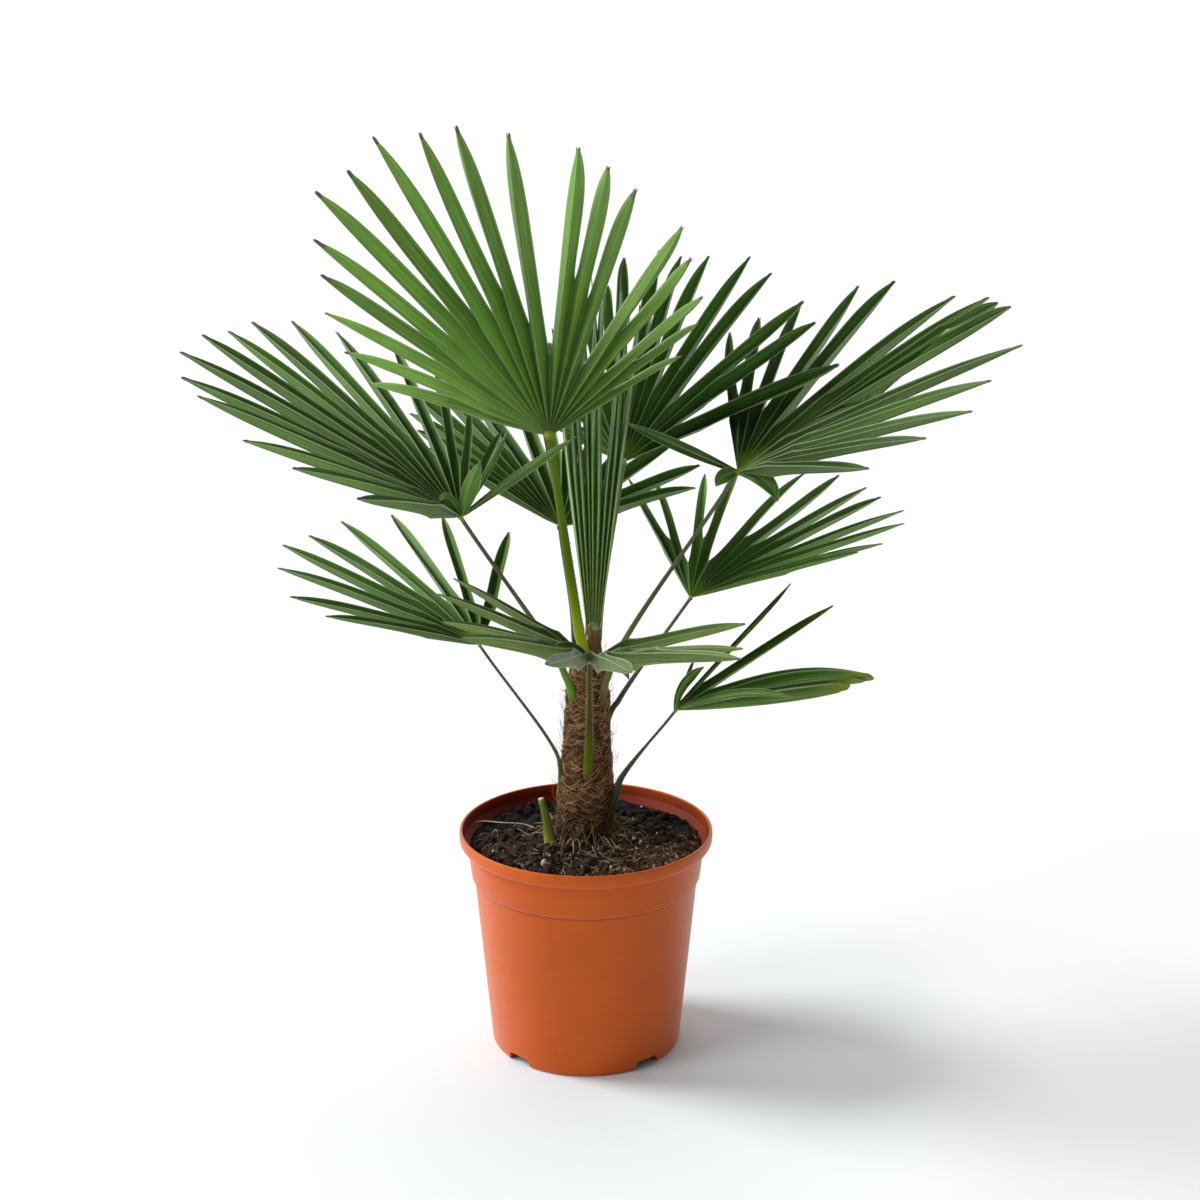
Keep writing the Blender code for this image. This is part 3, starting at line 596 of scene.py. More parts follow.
def leaf_finish(name, colour, vein_share=1.8, gloss=0.36, vein_bump=0.35, base_share=0.0, tip=None,
                fold_shade_run=(0.62, 0.12)):
    """A leaflet's skin: streaks and fine veins along it, their pale tone mixed with a painted highlight, painted
    shade in the folds, a thin dry edge with a painted highlight, a paler foot, satin gloss.

    It reads the blade's UV map: from a leaflet's rib to its edge, and from the hub to its tip.
    """
    made, graph, shader, place = new_finish(name)
    along = graph.add("ShaderNodeUVMap", uv_map="veins").outputs["UV"]
    apart = graph.add("ShaderNodeSeparateXYZ", {"Vector": along}).outputs
    vein = graph.math("SINE", graph.math("MULTIPLY", apart["X"], 75.0))
    long_place = graph.add("ShaderNodeCombineXYZ", {"X": graph.math("MULTIPLY", apart["X"], 9.0),
                                                    "Y": graph.math("MULTIPLY", apart["Y"], 2.5)}).outputs[0]
    streak = graph.noise(long_place, 1.0, 3.0, 0.6)
    cloud = graph.noise(place, 30.0, 3.0)
    tint = graph.blend(graph.spread(cloud, 0.35, 0.65), shade(colour, 0.90), shade(colour, 1.10))
    # Pale streaks and veins: a lighter tone of the leaf mixed with the painted highlight.
    pale = between(shade(colour, vein_share), LEAF_GLINT, 0.24)
    # The darkest green, for dark streaks and the painted shade in the folds.
    deep = (colour[0] * 0.26, colour[1] * 0.38, colour[2] * 0.16, 1.0)
    tint = graph.blend(graph.spread(streak, 0.5, 0.68, 0.0, 0.8), tint, pale)
    tint = graph.blend(graph.spread(streak, 0.49, 0.30, 0.0, 0.75), tint, deep)
    tint = graph.blend(graph.spread(vein, 0.4, 1.0, 0.0, 0.3), tint, pale)
    # Painted shade: darker towards the folds, most of all near the hub, where the pleats shade each other.
    fold_shade = graph.math("MULTIPLY", graph.spread(apart["X"], 0.22, 0.70), graph.spread(apart["Y"], *fold_shade_run))
    tint = graph.blend(graph.math("MULTIPLY", fold_shade, FOLD_SHADE_DEPTH), tint, deep)
    # A thin pale edge along the folds and the margins: partly a dry margin, partly a painted highlight.
    tint = graph.blend(graph.spread(apart["X"], 0.87, 0.97, 0.0, 0.75), tint, LEAF_EDGE)
    if base_share:
        tint = graph.blend(graph.spread(apart["Y"], 0.13, 0.02, 0.0, base_share), tint, LEAF_BASE)
    if "closed" in name:
        tint = graph.blend(graph.spread(apart["Y"], 0.36, 0.18, 0.0, 0.7), tint, SPEAR_BASE)
    if tip:
        ragged = graph.math("ADD", apart["Y"], graph.math("MULTIPLY", streak, 0.35))
        tint = graph.blend(graph.spread(ragged, 0.98, 1.16, 0.0, 0.9), tint, tip)
    roughness = graph.spread(cloud, 0.3, 0.7, gloss - 0.04, gloss + 0.07)
    dress(graph, shader, tint, roughness, graph.bump(vein, vein_bump, 0.00012))
    shader.inputs["Specular IOR Level"].default_value = 0.20
    shader.inputs["Specular Tint"].default_value = (0.9, 1.0, 0.8, 1.0)
    return made


def mesh_piece(name, points, faces, finishes, finish_of_face=None, smooth=True):
    """A finished piece from points and faces, with its materials."""
    mesh = bpy.data.meshes.new(name)
    mesh.from_pydata([tuple(point) for point in points], [], faces)
    for finish in finishes:
        mesh.materials.append(finish)
    if finish_of_face is not None:
        mesh.polygons.foreach_set("material_index", finish_of_face)
    if smooth:
        mesh.shade_smooth()
    mesh.validate()
    made = bpy.data.objects.new(name, mesh)
    bpy.context.scene.collection.objects.link(made)
    return made


def settle(made):
    """Turns an object's modifiers into its plain mesh."""
    graph = bpy.context.evaluated_depsgraph_get()
    mesh = bpy.data.meshes.new_from_object(made.evaluated_get(graph))
    mesh.name = made.name
    made.modifiers.clear()
    made.data = mesh
    return made


def hand_over(made, slot, *nodes):
    """The piece rides on the plant and stands for CAD nodes; the slot is not used."""
    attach(made, BODY)
    if nodes:
        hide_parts(*nodes)
    return made


def new_tree(name, sockets):
    """A Geometry Nodes tree with named inputs, its graph and its two ends."""
    tree = bpy.data.node_groups.new(name, "GeometryNodeTree")
    tree.interface.new_socket("Geometry", in_out="INPUT", socket_type="NodeSocketGeometry")
    for label, kind, default in sockets:
        socket = tree.interface.new_socket(label, in_out="INPUT", socket_type=f"NodeSocket{kind}")
        if default is not None:
            socket.default_value = default
    tree.interface.new_socket("Geometry", in_out="OUTPUT", socket_type="NodeSocketGeometry")
    graph = Graph(tree)
    return graph, graph.add("NodeGroupInput").outputs, graph.add("NodeGroupOutput").inputs


def close_tree(graph, shape, given, result, smooth):
    """Ends a tree in plain, shaded faces of one material."""
    shape = graph.add("GeometryNodeRealizeInstances", {"Geometry": shape}).outputs[0]
    shape = graph.add("GeometryNodeSetShadeSmooth", {"Geometry": shape, "Shade Smooth": smooth}).outputs[0]
    shape = graph.add("GeometryNodeSetMaterial", {"Geometry": shape, "Material": given["Material"]}).outputs[0]
    graph.tree.links.new(shape, result["Geometry"])
    return graph.tree


def strands_tree():
    """Each chain of edges becomes a round strand, as thick as its points' girth says."""
    sockets = (("Thickness", "Float", 1.0), ("Sides", "Int", 5), ("Material", "Material", None))
    graph, given, result = new_tree("strands", sockets)
    girth = graph.add("GeometryNodeInputNamedAttribute", {"Name": "girth"}, data_type="FLOAT").outputs[0]
    ring = graph.add("GeometryNodeCurvePrimitiveCircle", {"Resolution": given["Sides"], "Radius": 1.0})
    path = graph.add("GeometryNodeMeshToCurve", {"Mesh": given["Geometry"]}).outputs[0]
    scale = graph.math("MULTIPLY", girth, given["Thickness"])
    values = {"Curve": path, "Profile Curve": ring.outputs["Curve"], "Scale": scale, "Fill Caps": True}
    tube = graph.add("GeometryNodeCurveToMesh", values).outputs[0]
    return close_tree(graph, tube, given, result, True)


def lumps_tree():
    """A rough lump at each point, as large as its size says, turned at random."""
    sockets = (("Roughness", "Float", 0.35), ("Fineness", "Int", 1), ("Seed", "Int", 1),
               ("Material", "Material", None))
    graph, given, result = new_tree("lumps", sockets)
    size = graph.add("GeometryNodeInputNamedAttribute", {"Name": "size"}, data_type="FLOAT_VECTOR").outputs[0]
    ball = graph.add("GeometryNodeMeshIcoSphere", {"Radius": 1.0, "Subdivisions": given["Fineness"]}).outputs["Mesh"]
    turn = graph.add("FunctionNodeRandomValue", {0: (0.0, 0.0, 0.0), 1: (6.28, 6.28, 6.28),
                                                 "Seed": given["Seed"]}, data_type="FLOAT_VECTOR")
    rotation = graph.add("FunctionNodeEulerToRotation", {"Euler": turn.outputs[0]}).outputs[0]
    placed = graph.add("GeometryNodeInstanceOnPoints", {"Points": given["Geometry"], "Instance": ball,
                                                        "Rotation": rotation, "Scale": size}).outputs[0]
    real = graph.add("GeometryNodeRealizeInstances", {"Geometry": placed}).outputs[0]
    place = graph.add("GeometryNodeInputPosition").outputs[0]
    rough = graph.add("ShaderNodeTexNoise", {"Vector": place, "Scale": 420.0, "Detail": 2.0}).outputs["Color"]
    centred = graph.add("ShaderNodeVectorMath", {0: rough, 1: (0.5, 0.5, 0.5)}, operation="SUBTRACT")
    scaled = graph.add("ShaderNodeVectorMath", {0: centred.outputs[0], "Scale": given["Roughness"]},
                       operation="SCALE").outputs[0]
    moved = graph.add("GeometryNodeSetPosition", {"Geometry": real, "Offset": scaled}).outputs[0]
    return close_tree(graph, moved, given, result, False)


def teeth_tree():
    """Small thorns at even steps along chains of edges, pointing where their outward says."""
    sockets = (("Spacing", "Float", 0.004), ("Length", "Float", 0.0012), ("Seed", "Int", 3),
               ("Material", "Material", None))
    graph, given, result = new_tree("teeth", sockets)
    out = graph.add("GeometryNodeInputNamedAttribute", {"Name": "outward"}, data_type="FLOAT_VECTOR").outputs[0]
    path = graph.add("GeometryNodeMeshToCurve", {"Mesh": given["Geometry"]}).outputs[0]
    steps = graph.add("GeometryNodeResampleCurve", {"Curve": path, "Length": given["Spacing"]}, mode="LENGTH")
    cone = graph.add("GeometryNodeMeshCone", {"Vertices": 4, "Radius Top": 0.02, "Radius Bottom": 0.32,
                                              "Depth": 1.0}).outputs["Mesh"]
    turn = graph.add("FunctionNodeAlignRotationToVector", {"Vector": out}).outputs[0]
    pick = graph.add("FunctionNodeRandomValue", {2: 0.45, 3: 1.0, "Seed": given["Seed"]}, data_type="FLOAT")
    scale = graph.math("MULTIPLY", pick.outputs[1], given["Length"])
    values = {"Points": steps.outputs[0], "Instance": cone, "Rotation": turn, "Scale": scale}
    placed = graph.add("GeometryNodeInstanceOnPoints", values).outputs[0]
    return close_tree(graph, placed, given, result, False)


TREES = {"strands": strands_tree, "lumps": lumps_tree, "teeth": teeth_tree}


def grown(name, tree_name, points, edges, attributes, inputs):
    """A piece that a Geometry Nodes tree grows on loose points or chains of edges."""
    mesh = bpy.data.meshes.new(name)
    mesh.from_pydata([tuple(point) for point in points], edges, [])
    for label, (kind, values) in attributes.items():
        field = "vector" if kind == "FLOAT_VECTOR" else "value"
        mesh.attributes.new(label, kind, "POINT").data.foreach_set(field, np.ravel(values))
    made = bpy.data.objects.new(name, mesh)
    bpy.context.scene.collection.objects.link(made)
    tree = bpy.data.node_groups.get(tree_name) or TREES[tree_name]()
    grow = made.modifiers.new(tree_name, "NODES")
    grow.node_group = tree
    for socket in tree.interface.items_tree:
        if socket.in_out == "INPUT" and socket.name in inputs:
            grow[socket.identifier] = inputs[socket.name]
    return settle(made)


class Strands:
    """Chains of points that will become fibres, hairs or roots."""

    def __init__(self):
        self.points, self.edges, self.girths = [], [], []

    def add(self, path, girth, taper=0.35):
        """A strand along a path, thinner towards both ends."""
        last = len(path) - 1
        for i, point in enumerate(path):
            if i:
                self.edges.append((len(self.points) - 1, len(self.points)))
            self.points.append(point)
            self.girths.append(girth * (taper + (1 - taper) * math.sin(math.pi * (0.15 + 0.7 * i / last))))

    def piece(self, name, finish, sides=5):
        attributes = {"girth": ("FLOAT", self.girths)}
        inputs = {"Thickness": 1.0, "Sides": sides, "Material": finish}
        return grown(name, "strands", self.points, self.edges, attributes, inputs)


def rounded(corners, steps=4):
    """A profile with each (radius, height, round) corner eased by its round."""
    made = []
    for i, (radius, height, ease) in enumerate(corners):
        here = Vector((radius, height))
        if not ease or i in (0, len(corners) - 1):
            made.append((radius, height))
            continue
        before, after = Vector(corners[i - 1][:2]), Vector(corners[i + 1][:2])
        start = here.lerp(before, min(0.48, ease / (before - here).length))
        end = here.lerp(after, min(0.48, ease / (after - here).length))
        for step in range(steps + 1):
            share = step / steps
            made.append(tuple(start.lerp(here, share).lerp(here.lerp(end, share), share)))
    return made


def pot_profile():
    """From the middle of the inner floor, up the inner wall, over the rolled lip and down to the foot."""
    lip_foot = POT_HEIGHT - RIM_BAND
    inner_rim = RIM_RADIUS - RIM_LIP
    floor_top = NOTCH_HEIGHT + FLOOR_THICKNESS
    chamfer = BODY_TOP_RADIUS - COLLAR_FOOT_RADIUS
    foot_edge = FOOT_RADIUS - FOOT_ROUND
    ring_inner = foot_edge - FOOT_RING_WIDTH
    return rounded((
        (0.0, floor_top, 0),
        (FOOT_RADIUS - POT_WALL, floor_top, 0.004),
        (BODY_TOP_RADIUS - POT_WALL, COLLAR_STEP_HEIGHT, 0.0010),
        (COLLAR_FOOT_RADIUS - POT_WALL, COLLAR_STEP_HEIGHT - chamfer, 0.0010),
        (COLLAR_TOP_RADIUS - POT_WALL, lip_foot - POT_WALL, 0.0012),
        (inner_rim - 0.0012, lip_foot + 0.0030, 0.0016),
        (inner_rim, POT_HEIGHT, 0.0013),
        (RIM_RADIUS - 0.0004, POT_HEIGHT, 0.0015),
        (RIM_RADIUS, POT_HEIGHT - 0.0050, 0.0020),
        (RIM_RADIUS - 0.0003, POT_HEIGHT - 0.0100, 0.0020),
        (RIM_RADIUS - 0.0022, lip_foot, 0.0010),
        (COLLAR_TOP_RADIUS + 0.0004, lip_foot + 0.0002, 0.0012),
        (COLLAR_TOP_RADIUS, lip_foot - 0.0030, 0.0010),
        (COLLAR_FOOT_RADIUS, COLLAR_STEP_HEIGHT - chamfer, 0.0012),
        (BODY_TOP_RADIUS, COLLAR_STEP_HEIGHT, 0.0012),
        (FOOT_RADIUS, 0.0026, 0.0020),
        (foot_edge, 0.0, 0.0012),
        (ring_inner, 0.0, 0.0006),
        (ring_inner, NOTCH_HEIGHT, 0.0006),
        (FOOT_PAD_RADIUS + 0.0012, NOTCH_HEIGHT, 0.0006),
        (FOOT_PAD_RADIUS, 0.0, 0.0006),
        (0.0, 0.0, 0),
    ))


def turned(profile, segments):
    """Points and faces of a solid turned about the pot's axis, from one end of its profile to the other."""
    rings = profile[1:-1]
    points = [(0.0, 0.0, profile[0][1])]
    for radius, height in rings:
        for i in range(segments):
            turn = 2 * math.pi * i / segments
            points.append((radius * math.cos(turn), radius * math.sin(turn), height))
    points.append((0.0, 0.0, profile[-1][1]))
    last = len(points) - 1
    faces = []
    for i in range(segments):
        j = (i + 1) % segments
        faces.append((0, 1 + i, 1 + j))
        for ring in range(len(rings) - 1):
            here, there = 1 + ring * segments, 1 + (ring + 1) * segments
            faces.append((here + i, there + i, there + j, here + j))
        final = 1 + (len(rings) - 1) * segments
        faces.append((final + j, final + i, last))
    return points, faces


def notch_outline():
    """Half-width and height round a drainage notch, its two top corners rounded."""
    slope = (NOTCH_FOOT_WIDTH - NOTCH_TOP_WIDTH) / 2 / NOTCH_HEIGHT
    below = 0.003
    foot = NOTCH_FOOT_WIDTH / 2 + slope * below
    top = NOTCH_TOP_WIDTH / 2
    corners = ((-foot, -below, 0), (-top, NOTCH_HEIGHT, NOTCH_ROUND), (top, NOTCH_HEIGHT, NOTCH_ROUND),
               (foot, -below, 0))
    return rounded(corners, 5)


def cut_notches(pot):
    """Cuts the four drainage notches through the foot ring."""
    outline = notch_outline()
    count = len(outline)
    points, faces = [], []
    for facing in (-90, 90):
        for side in (-1, 1):
            turn = Matrix.Rotation(math.radians(facing + side * NOTCH_HALF_ANGLE + NOTCH_TURN), 4, "Z")
            base = len(points)
            for x in (FOOT_RADIUS * 0.9, FOOT_RADIUS * 1.1):
                points += [turn @ Vector((x, y, z)) for y, z in outline]
            near, far = range(base, base + count), range(base + count, base + 2 * count)
            faces.append(tuple(near))
            faces.append(tuple(reversed(far)))
            for i in range(count):
                j = (i + 1) % count
                faces.append((near[j], near[i], far[i], far[j]))
    cutter = mesh_piece("notch_cutter", points, faces, [pot.data.materials[0]], smooth=False)
    cut = pot.modifiers.new("notches", "BOOLEAN")
    cut.operation = "DIFFERENCE"
    cut.solver = "EXACT"
    cut.object = cutter
    settle(pot)
    bpy.data.objects.remove(cutter)


def build_pot(settings):
    points, faces = turned(pot_profile(), settings.segments)
    pot = mesh_piece("pot_shell", points, faces, [plastic_finish(settings), inner_finish(settings)])
    cut_notches(pot)
    for face in pot.data.polygons:
        outward = face.normal.x * face.center.x + face.normal.y * face.center.y
        away = math.hypot(face.center.x, face.center.y)
        if face.center.z > FLOOR_THICKNESS and away < RIM_RADIUS - RIM_LIP and outward < 0.01 * away:
            face.material_index = 1
    pot.data.set_sharp_from_angle(angle=math.radians(38))
    hand_over(pot, "pot", "pot")


def inner_radius(height):
    """The pot's inner radius at a height between its floor and its lip."""
    inside = [(z, r) for r, z in pot_profile() if r < RIM_RADIUS - RIM_LIP][1:]
    rising = [inside[0]]
    for z, r in inside:
        if z > rising[-1][0]:
            rising.append((z, r))
    return float(np.interp(height, [z for z, _ in rising], [r for _, r in rising]))


def soil_height(x, y):
    """The soil's surface: flat under the trunk, then a low lumpy slope down to the pot's wall."""
    away = math.hypot(x - TRUNK_FOOT[0], y - TRUNK_FOOT[1])
    flat = TRUNK_PROFILE[0][1] + SOIL_FLAT_BEYOND_TRUNK
    edge = COLLAR_TOP_RADIUS - POT_WALL
    fall = min(max((away - flat) / (edge - flat), 0.0), 1.0)
    lump = SOIL_LUMP * math.sin(SOIL_LUMP_TURNS[0] * x) * math.cos(SOIL_LUMP_TURNS[1] * y)
    slope = SOIL_MOUND_HEIGHT + (SOIL_EDGE_HEIGHT - SOIL_MOUND_HEIGHT) * fall
    return slope + lump * math.sin(math.pi * fall)


def clod_height(x, y):
    """Clods and grit on the soil's surface."""
    place = Vector((x, y, 0.0))
    clods = noise.turbulence(place * 70.0, 3, False) - 0.55
    grit = noise.noise(place * 420.0)
    return 0.0048 * clods + 0.0008 * grit


def build_soil(settings):
    finish = soil_finish("soil_ground", settings.colour)
    edge = COLLAR_TOP_RADIUS - POT_WALL - 0.0008
    centre = TRUNK_FOOT
    points = [(*centre, soil_height(*centre))]
    angles = [2 * math.pi * i / SOIL_SEGMENTS for i in range(SOIL_SEGMENTS)]
    for ring in range(1, SOIL_RINGS + 1):
        share = ring / SOIL_RINGS
        for angle in angles:
            x = centre[0] * (1 - share) + edge * share * math.cos(angle)
            y = centre[1] * (1 - share) + edge * share * math.sin(angle)
            points.append((x, y, soil_height(x, y) + clod_height(x, y)))
    floor = NOTCH_HEIGHT + FLOOR_THICKNESS + GAP
    side = (
        (COLLAR_FOOT_RADIUS - POT_WALL - 0.0008, COLLAR_STEP_HEIGHT + 0.004),
        (BODY_TOP_RADIUS - POT_WALL - 0.0008, COLLAR_STEP_HEIGHT - 0.002),
        (FOOT_RADIUS - POT_WALL - 0.0008, floor + 0.004),
        (FOOT_RADIUS - POT_WALL - 0.005, floor),
    )
    for radius, height in side:
        points += [(radius * math.cos(a), radius * math.sin(a), height) for a in angles]
    points.append((0.0, 0.0, floor))
    rings = SOIL_RINGS + len(side)
    faces = []
    for i in range(SOIL_SEGMENTS):
        j = (i + 1) % SOIL_SEGMENTS
        faces.append((0, 1 + i, 1 + j))
        for ring in range(rings - 1):
            here, there = 1 + ring * SOIL_SEGMENTS, 1 + (ring + 1) * SOIL_SEGMENTS
            faces.append((here + i, there + i, there + j, here + j))
        final = 1 + (rings - 1) * SOIL_SEGMENTS
        faces.append((final + j, final + i, len(points) - 1))
    hand_over(mesh_piece("soil_bed", points, faces, [finish]), "soil", "soil")


# Places on the soil of what shows there from the front: (x, y), and the grains' radii
PERLITE = (
    (-0.0385, -0.0586, 0.0040), (0.0454, -0.0103, 0.0020), (0.0519, -0.0152, 0.0018),
    (0.0734, -0.0586, 0.0022), (0.0234, -0.0727, 0.0021), (-0.0097, -0.0727, 0.0017),
    (0.0014, -0.0866, 0.0018), (0.0680, 0.0120, 0.0016), (0.0850, -0.0440, 0.0014),
)
MORE_PERLITE = 44
WHITE_ROOT = ((-0.1081, 0.0350), (-0.0778, 0.0248), (-0.0495, 0.0072))


class Lumps(NamedTuple):
    """One kind of crumb on the soil: how many, their radii and how fine they are."""

    name: str
    share: float
    smallest: float
    largest: float
    fineness: int
    colour: str
    thinned_out: bool = False


LUMPS = (
    Lumps("soil_clods", 0.075, 0.0024, 0.0052, 2, "colour"),
    Lumps("soil_crumbs_dark", 0.60, 0.0005, 0.0020, 1, "colour"),
    Lumps("soil_crumbs_brown", 0.75, 0.0005, 0.0019, 1, "crumb_colour", True),
    Lumps("soil_crumbs_tan", 0.16, 0.0004, 0.0012, 1, "root_colour", True),
)


def left_out_at(draw, x, y):
    """Whether a loose bit at a place is left out: most of them are kept at the front and right."""
    return draw.random() > 0.25 + 5.0 * (x - y)


def on_soil(draw, inner=0.030, outer=0.104):
    """A random place on the soil, clear of the trunk and the wall."""
    while True:
        x, y = draw.uniform(-outer, outer), draw.uniform(-outer, outer)
        if math.hypot(x, y) < outer and math.hypot(x - TRUNK_FOOT[0], y - TRUNK_FOOT[1]) > inner:
            return x, y, soil_height(x, y) + clod_height(x, y)


def build_litter(settings):
    """Clods, crumbs, perlite, root threads and chips on the soil."""
    draw = random.Random(41)
    for kind in LUMPS:
        points, sizes = [], []
        for _ in range(int(settings.crumbs * kind.share)):
            size = kind.smallest + (kind.largest - kind.smallest) * draw.random() ** 2.2
            x, y, z = on_soil(draw, 0.028 + size, 0.106 - size)
            if kind.thinned_out and left_out_at(draw, x, y):
                continue
            points.append((x, y, z + size * draw.uniform(-0.3, 0.4)))
            sizes.append([size * draw.uniform(0.6, 1.2) for _ in range(3)])
        inputs = {"Roughness": kind.largest * 0.6, "Fineness": kind.fineness, "Seed": 7,
                  "Material": soil_finish(kind.name, getattr(settings, kind.colour))}
        made = grown(kind.name, "lumps", points, [], {"size": ("FLOAT_VECTOR", sizes)}, inputs)
        hand_over(made, "soil")
    grains = [(x, y, size) for x, y, size in PERLITE]
    for _ in range(MORE_PERLITE):
        x, y, _ = on_soil(draw, 0.036)
        grains.append((x, y, draw.uniform(0.0005, 0.0015)))
    points = [(x, y, soil_height(x, y) + clod_height(x, y) + 0.5 * size) for x, y, size in grains]
    sizes = [(size, size * 0.85, size * 0.7) for _, _, size in grains]
    inputs = {"Roughness": 0.0014, "Fineness": 2, "Seed": 11,
              "Material": grain_finish("perlite", settings.perlite_colour)}
    made = grown("perlite_grains", "lumps", points, [], {"size": ("FLOAT_VECTOR", sizes)}, inputs)
    hand_over(made, "soil")
    hand_over(build_roots(settings, draw), "soil")
    hand_over(build_chips(settings, draw), "soil")


def lying_path(draw, start, turn, length, curl, lift):
    """A thread's course over the clods, from a place on the soil."""
    x, y = start
    steps, path = 8, []
    for step in range(steps + 1):
        share = step / steps
        rise = 0.0006 + lift * math.sin(math.pi * share) * draw.uniform(0.6, 1.0)
        path.append((x, y, soil_height(x, y) + clod_height(x, y) + rise))
        x += length / steps * math.cos(turn + curl * share)
        y += length / steps * math.sin(turn + curl * share)
        if math.hypot(x, y) > 0.106:
            break
    return path


def build_roots(settings, draw):
    """Pale threads that lie over the clods: one long white root, and many short ones round the trunk."""
    roots = Strands()
    path = []
    for step in range(17):
        share = step / 16
        a, b, c = (Vector(knot) for knot in WHITE_ROOT)
        flat = a.lerp(b, share).lerp(b.lerp(c, share), share)
        x, y = flat.x, flat.y + 0.002 * math.sin(9.0 * share)
        path.append((x, y, soil_height(x, y) + 0.0034 + 0.0022 * math.sin(3.1 * share)))
    roots.add(path, 0.00062, 0.6)
    for _ in range(46):
        turn = draw.uniform(0, 2 * math.pi)
        start = (TRUNK_FOOT[0] + 0.027 * math.cos(turn), TRUNK_FOOT[1] + 0.027 * math.sin(turn))
        lean = turn + draw.uniform(-0.9, 0.9)
        path = lying_path(draw, start, lean, draw.uniform(0.014, 0.040), draw.uniform(-0.35, 0.35), 0.005)
        roots.add(path, draw.uniform(0.00022, 0.00045))
    for _ in range(120):
        x, y, _ = on_soil(draw)
        if y > SHADED_FROM and draw.random() < SHADED_SHARE:
            continue
        turn, curl = draw.uniform(0, 2 * math.pi), draw.uniform(-0.5, 0.5)
        path = lying_path(draw, (x, y), turn, draw.uniform(0.006, 0.020), curl, 0.002)
        if len(path) > 3:
            roots.add(path, draw.uniform(0.00014, 0.00030))
    return roots.piece("root_threads", fibre_finish("root_thread", settings.root_colour))


def build_chips(settings, draw):
    """Short straight bits of straw and bark that stick up among the clods."""
    chips = Strands()
    for _ in range(520):
        x, y, z = on_soil(draw, 0.032, 0.101)
        if left_out_at(draw, x, y) or y > SHADED_FROM and draw.random() < SHADED_SHARE:
            continue
        turn, tilt, length = draw.uniform(0, 2 * math.pi), draw.uniform(-0.1, 0.5), draw.uniform(0.004, 0.013)
        along = Vector((math.cos(turn), math.sin(turn), math.tan(tilt))) * length
        middle = Vector((x, y, z + 0.0012))
        if math.hypot(*(middle + along / 2).xy) < 0.106 and math.hypot(*(middle - along / 2).xy) < 0.106:
            chips.add([middle + along * share for share in (-0.5, -0.17, 0.17, 0.5)], draw.uniform(0.0003, 0.0008))
    return chips.piece("soil_chips", fibre_finish("soil_chip", settings.chip_colour), 4)


def trunk_radius(height):
    heights, radii = zip(*TRUNK_PROFILE)
    return float(np.interp(height, heights, radii))


def trunk_axis(height):
    share = (height - SOIL_MOUND_HEIGHT) / (TRUNK_PROFILE[-1][0] - SOIL_MOUND_HEIGHT)
    return Vector(TRUNK_FOOT).lerp(Vector(TRUNK_TOP), min(max(share, 0.0), 1.0))


def on_trunk(turn, height, lift=0.0):
    """A point at an angle and height, so far off the trunk's surface."""
    x, y = trunk_axis(height)
    radius = trunk_radius(height) + trunk_relief(turn, height) + lift
    return Vector((x + radius * math.cos(turn), y + radius * math.sin(turn), height))


SHEATH_STEP = 0.0205
TRUNK_TAPER_FROM = 0.366
TRUNK_TAPER = 0.16


def trunk_relief(turn, height):
    """Overlapping sheath edges that wind up the trunk, with lumps."""
    wound = (height / SHEATH_STEP + 2 * turn / (2 * math.pi)) % 1.0
    edge = 0.0011 * (wound**2 - 0.4)
    place = Vector((math.cos(turn) * 1.3, math.sin(turn) * 1.3, height * 55.0))
    waist = min(0.0, TRUNK_TAPER_FROM - height) * TRUNK_TAPER
    return edge + 0.0010 * noise.noise(place) + 0.0005 * noise.noise(place * 5.0) - 0.0004 + waist


def build_trunk(settings):
    sides, rows = 96, 110
    low, high = TRUNK_PROFILE[0][0] - 0.004, TRUNK_PROFILE[-1][0]
    points = []
    for row in range(rows + 1):
        height = low + (high - low) * row / rows
        points += [on_trunk(2 * math.pi * i / sides, height) for i in range(sides)]
    faces = []
    for row in range(rows):
        here, there = row * sides, (row + 1) * sides
        for i in range(sides):
            j = (i + 1) % sides
            faces.append((here + i, here + j, there + j, there + i))
    faces.append(tuple(reversed(range(sides))))
    faces.append(tuple(range(rows * sides, (rows + 1) * sides)))
    hand_over(mesh_piece("trunk_mat", points, faces, [bark_finish(settings)]), "trunk", "trunk")
    build_fibres(settings)


def fibre_patch(draw, strands, turn, height, radius):
    """Short parallel arcs of fibre that lie over each other like a woven mat."""
    low, high = TRUNK_PROFILE[0][0] + 0.0005, TRUNK_PROFILE[-1][0] - 0.004
    hand = draw.choice((-1, 1))
    arc, rise = draw.uniform(0.35, 0.85), draw.uniform(0.002, 0.013)
    bend, step_down = draw.uniform(1.1, 2.4), draw.uniform(0.0014, 0.0022)
    for fibre in range(draw.randint(4, 8)):
        tone = draw.choice(("dark", "dark", "tan", "tan", "pale"))
        start = turn + draw.uniform(-0.06, 0.06)
        foot = height - step_down * fibre
        length = draw.uniform(0.7, 1.0)
        path = []
        for step in range(8):
            s = step / 7 * length
            z = foot + rise * s**bend
            if low < z < high:
                lift = 0.0002 + 0.0011 * math.sin(math.pi * s) + draw.uniform(-0.0002, 0.0002)
                path.append(on_trunk(start + hand * arc * s, z, lift))
        if len(path) > 4:
            strands[tone].add(path, radius * draw.uniform(0.6, 1.15))


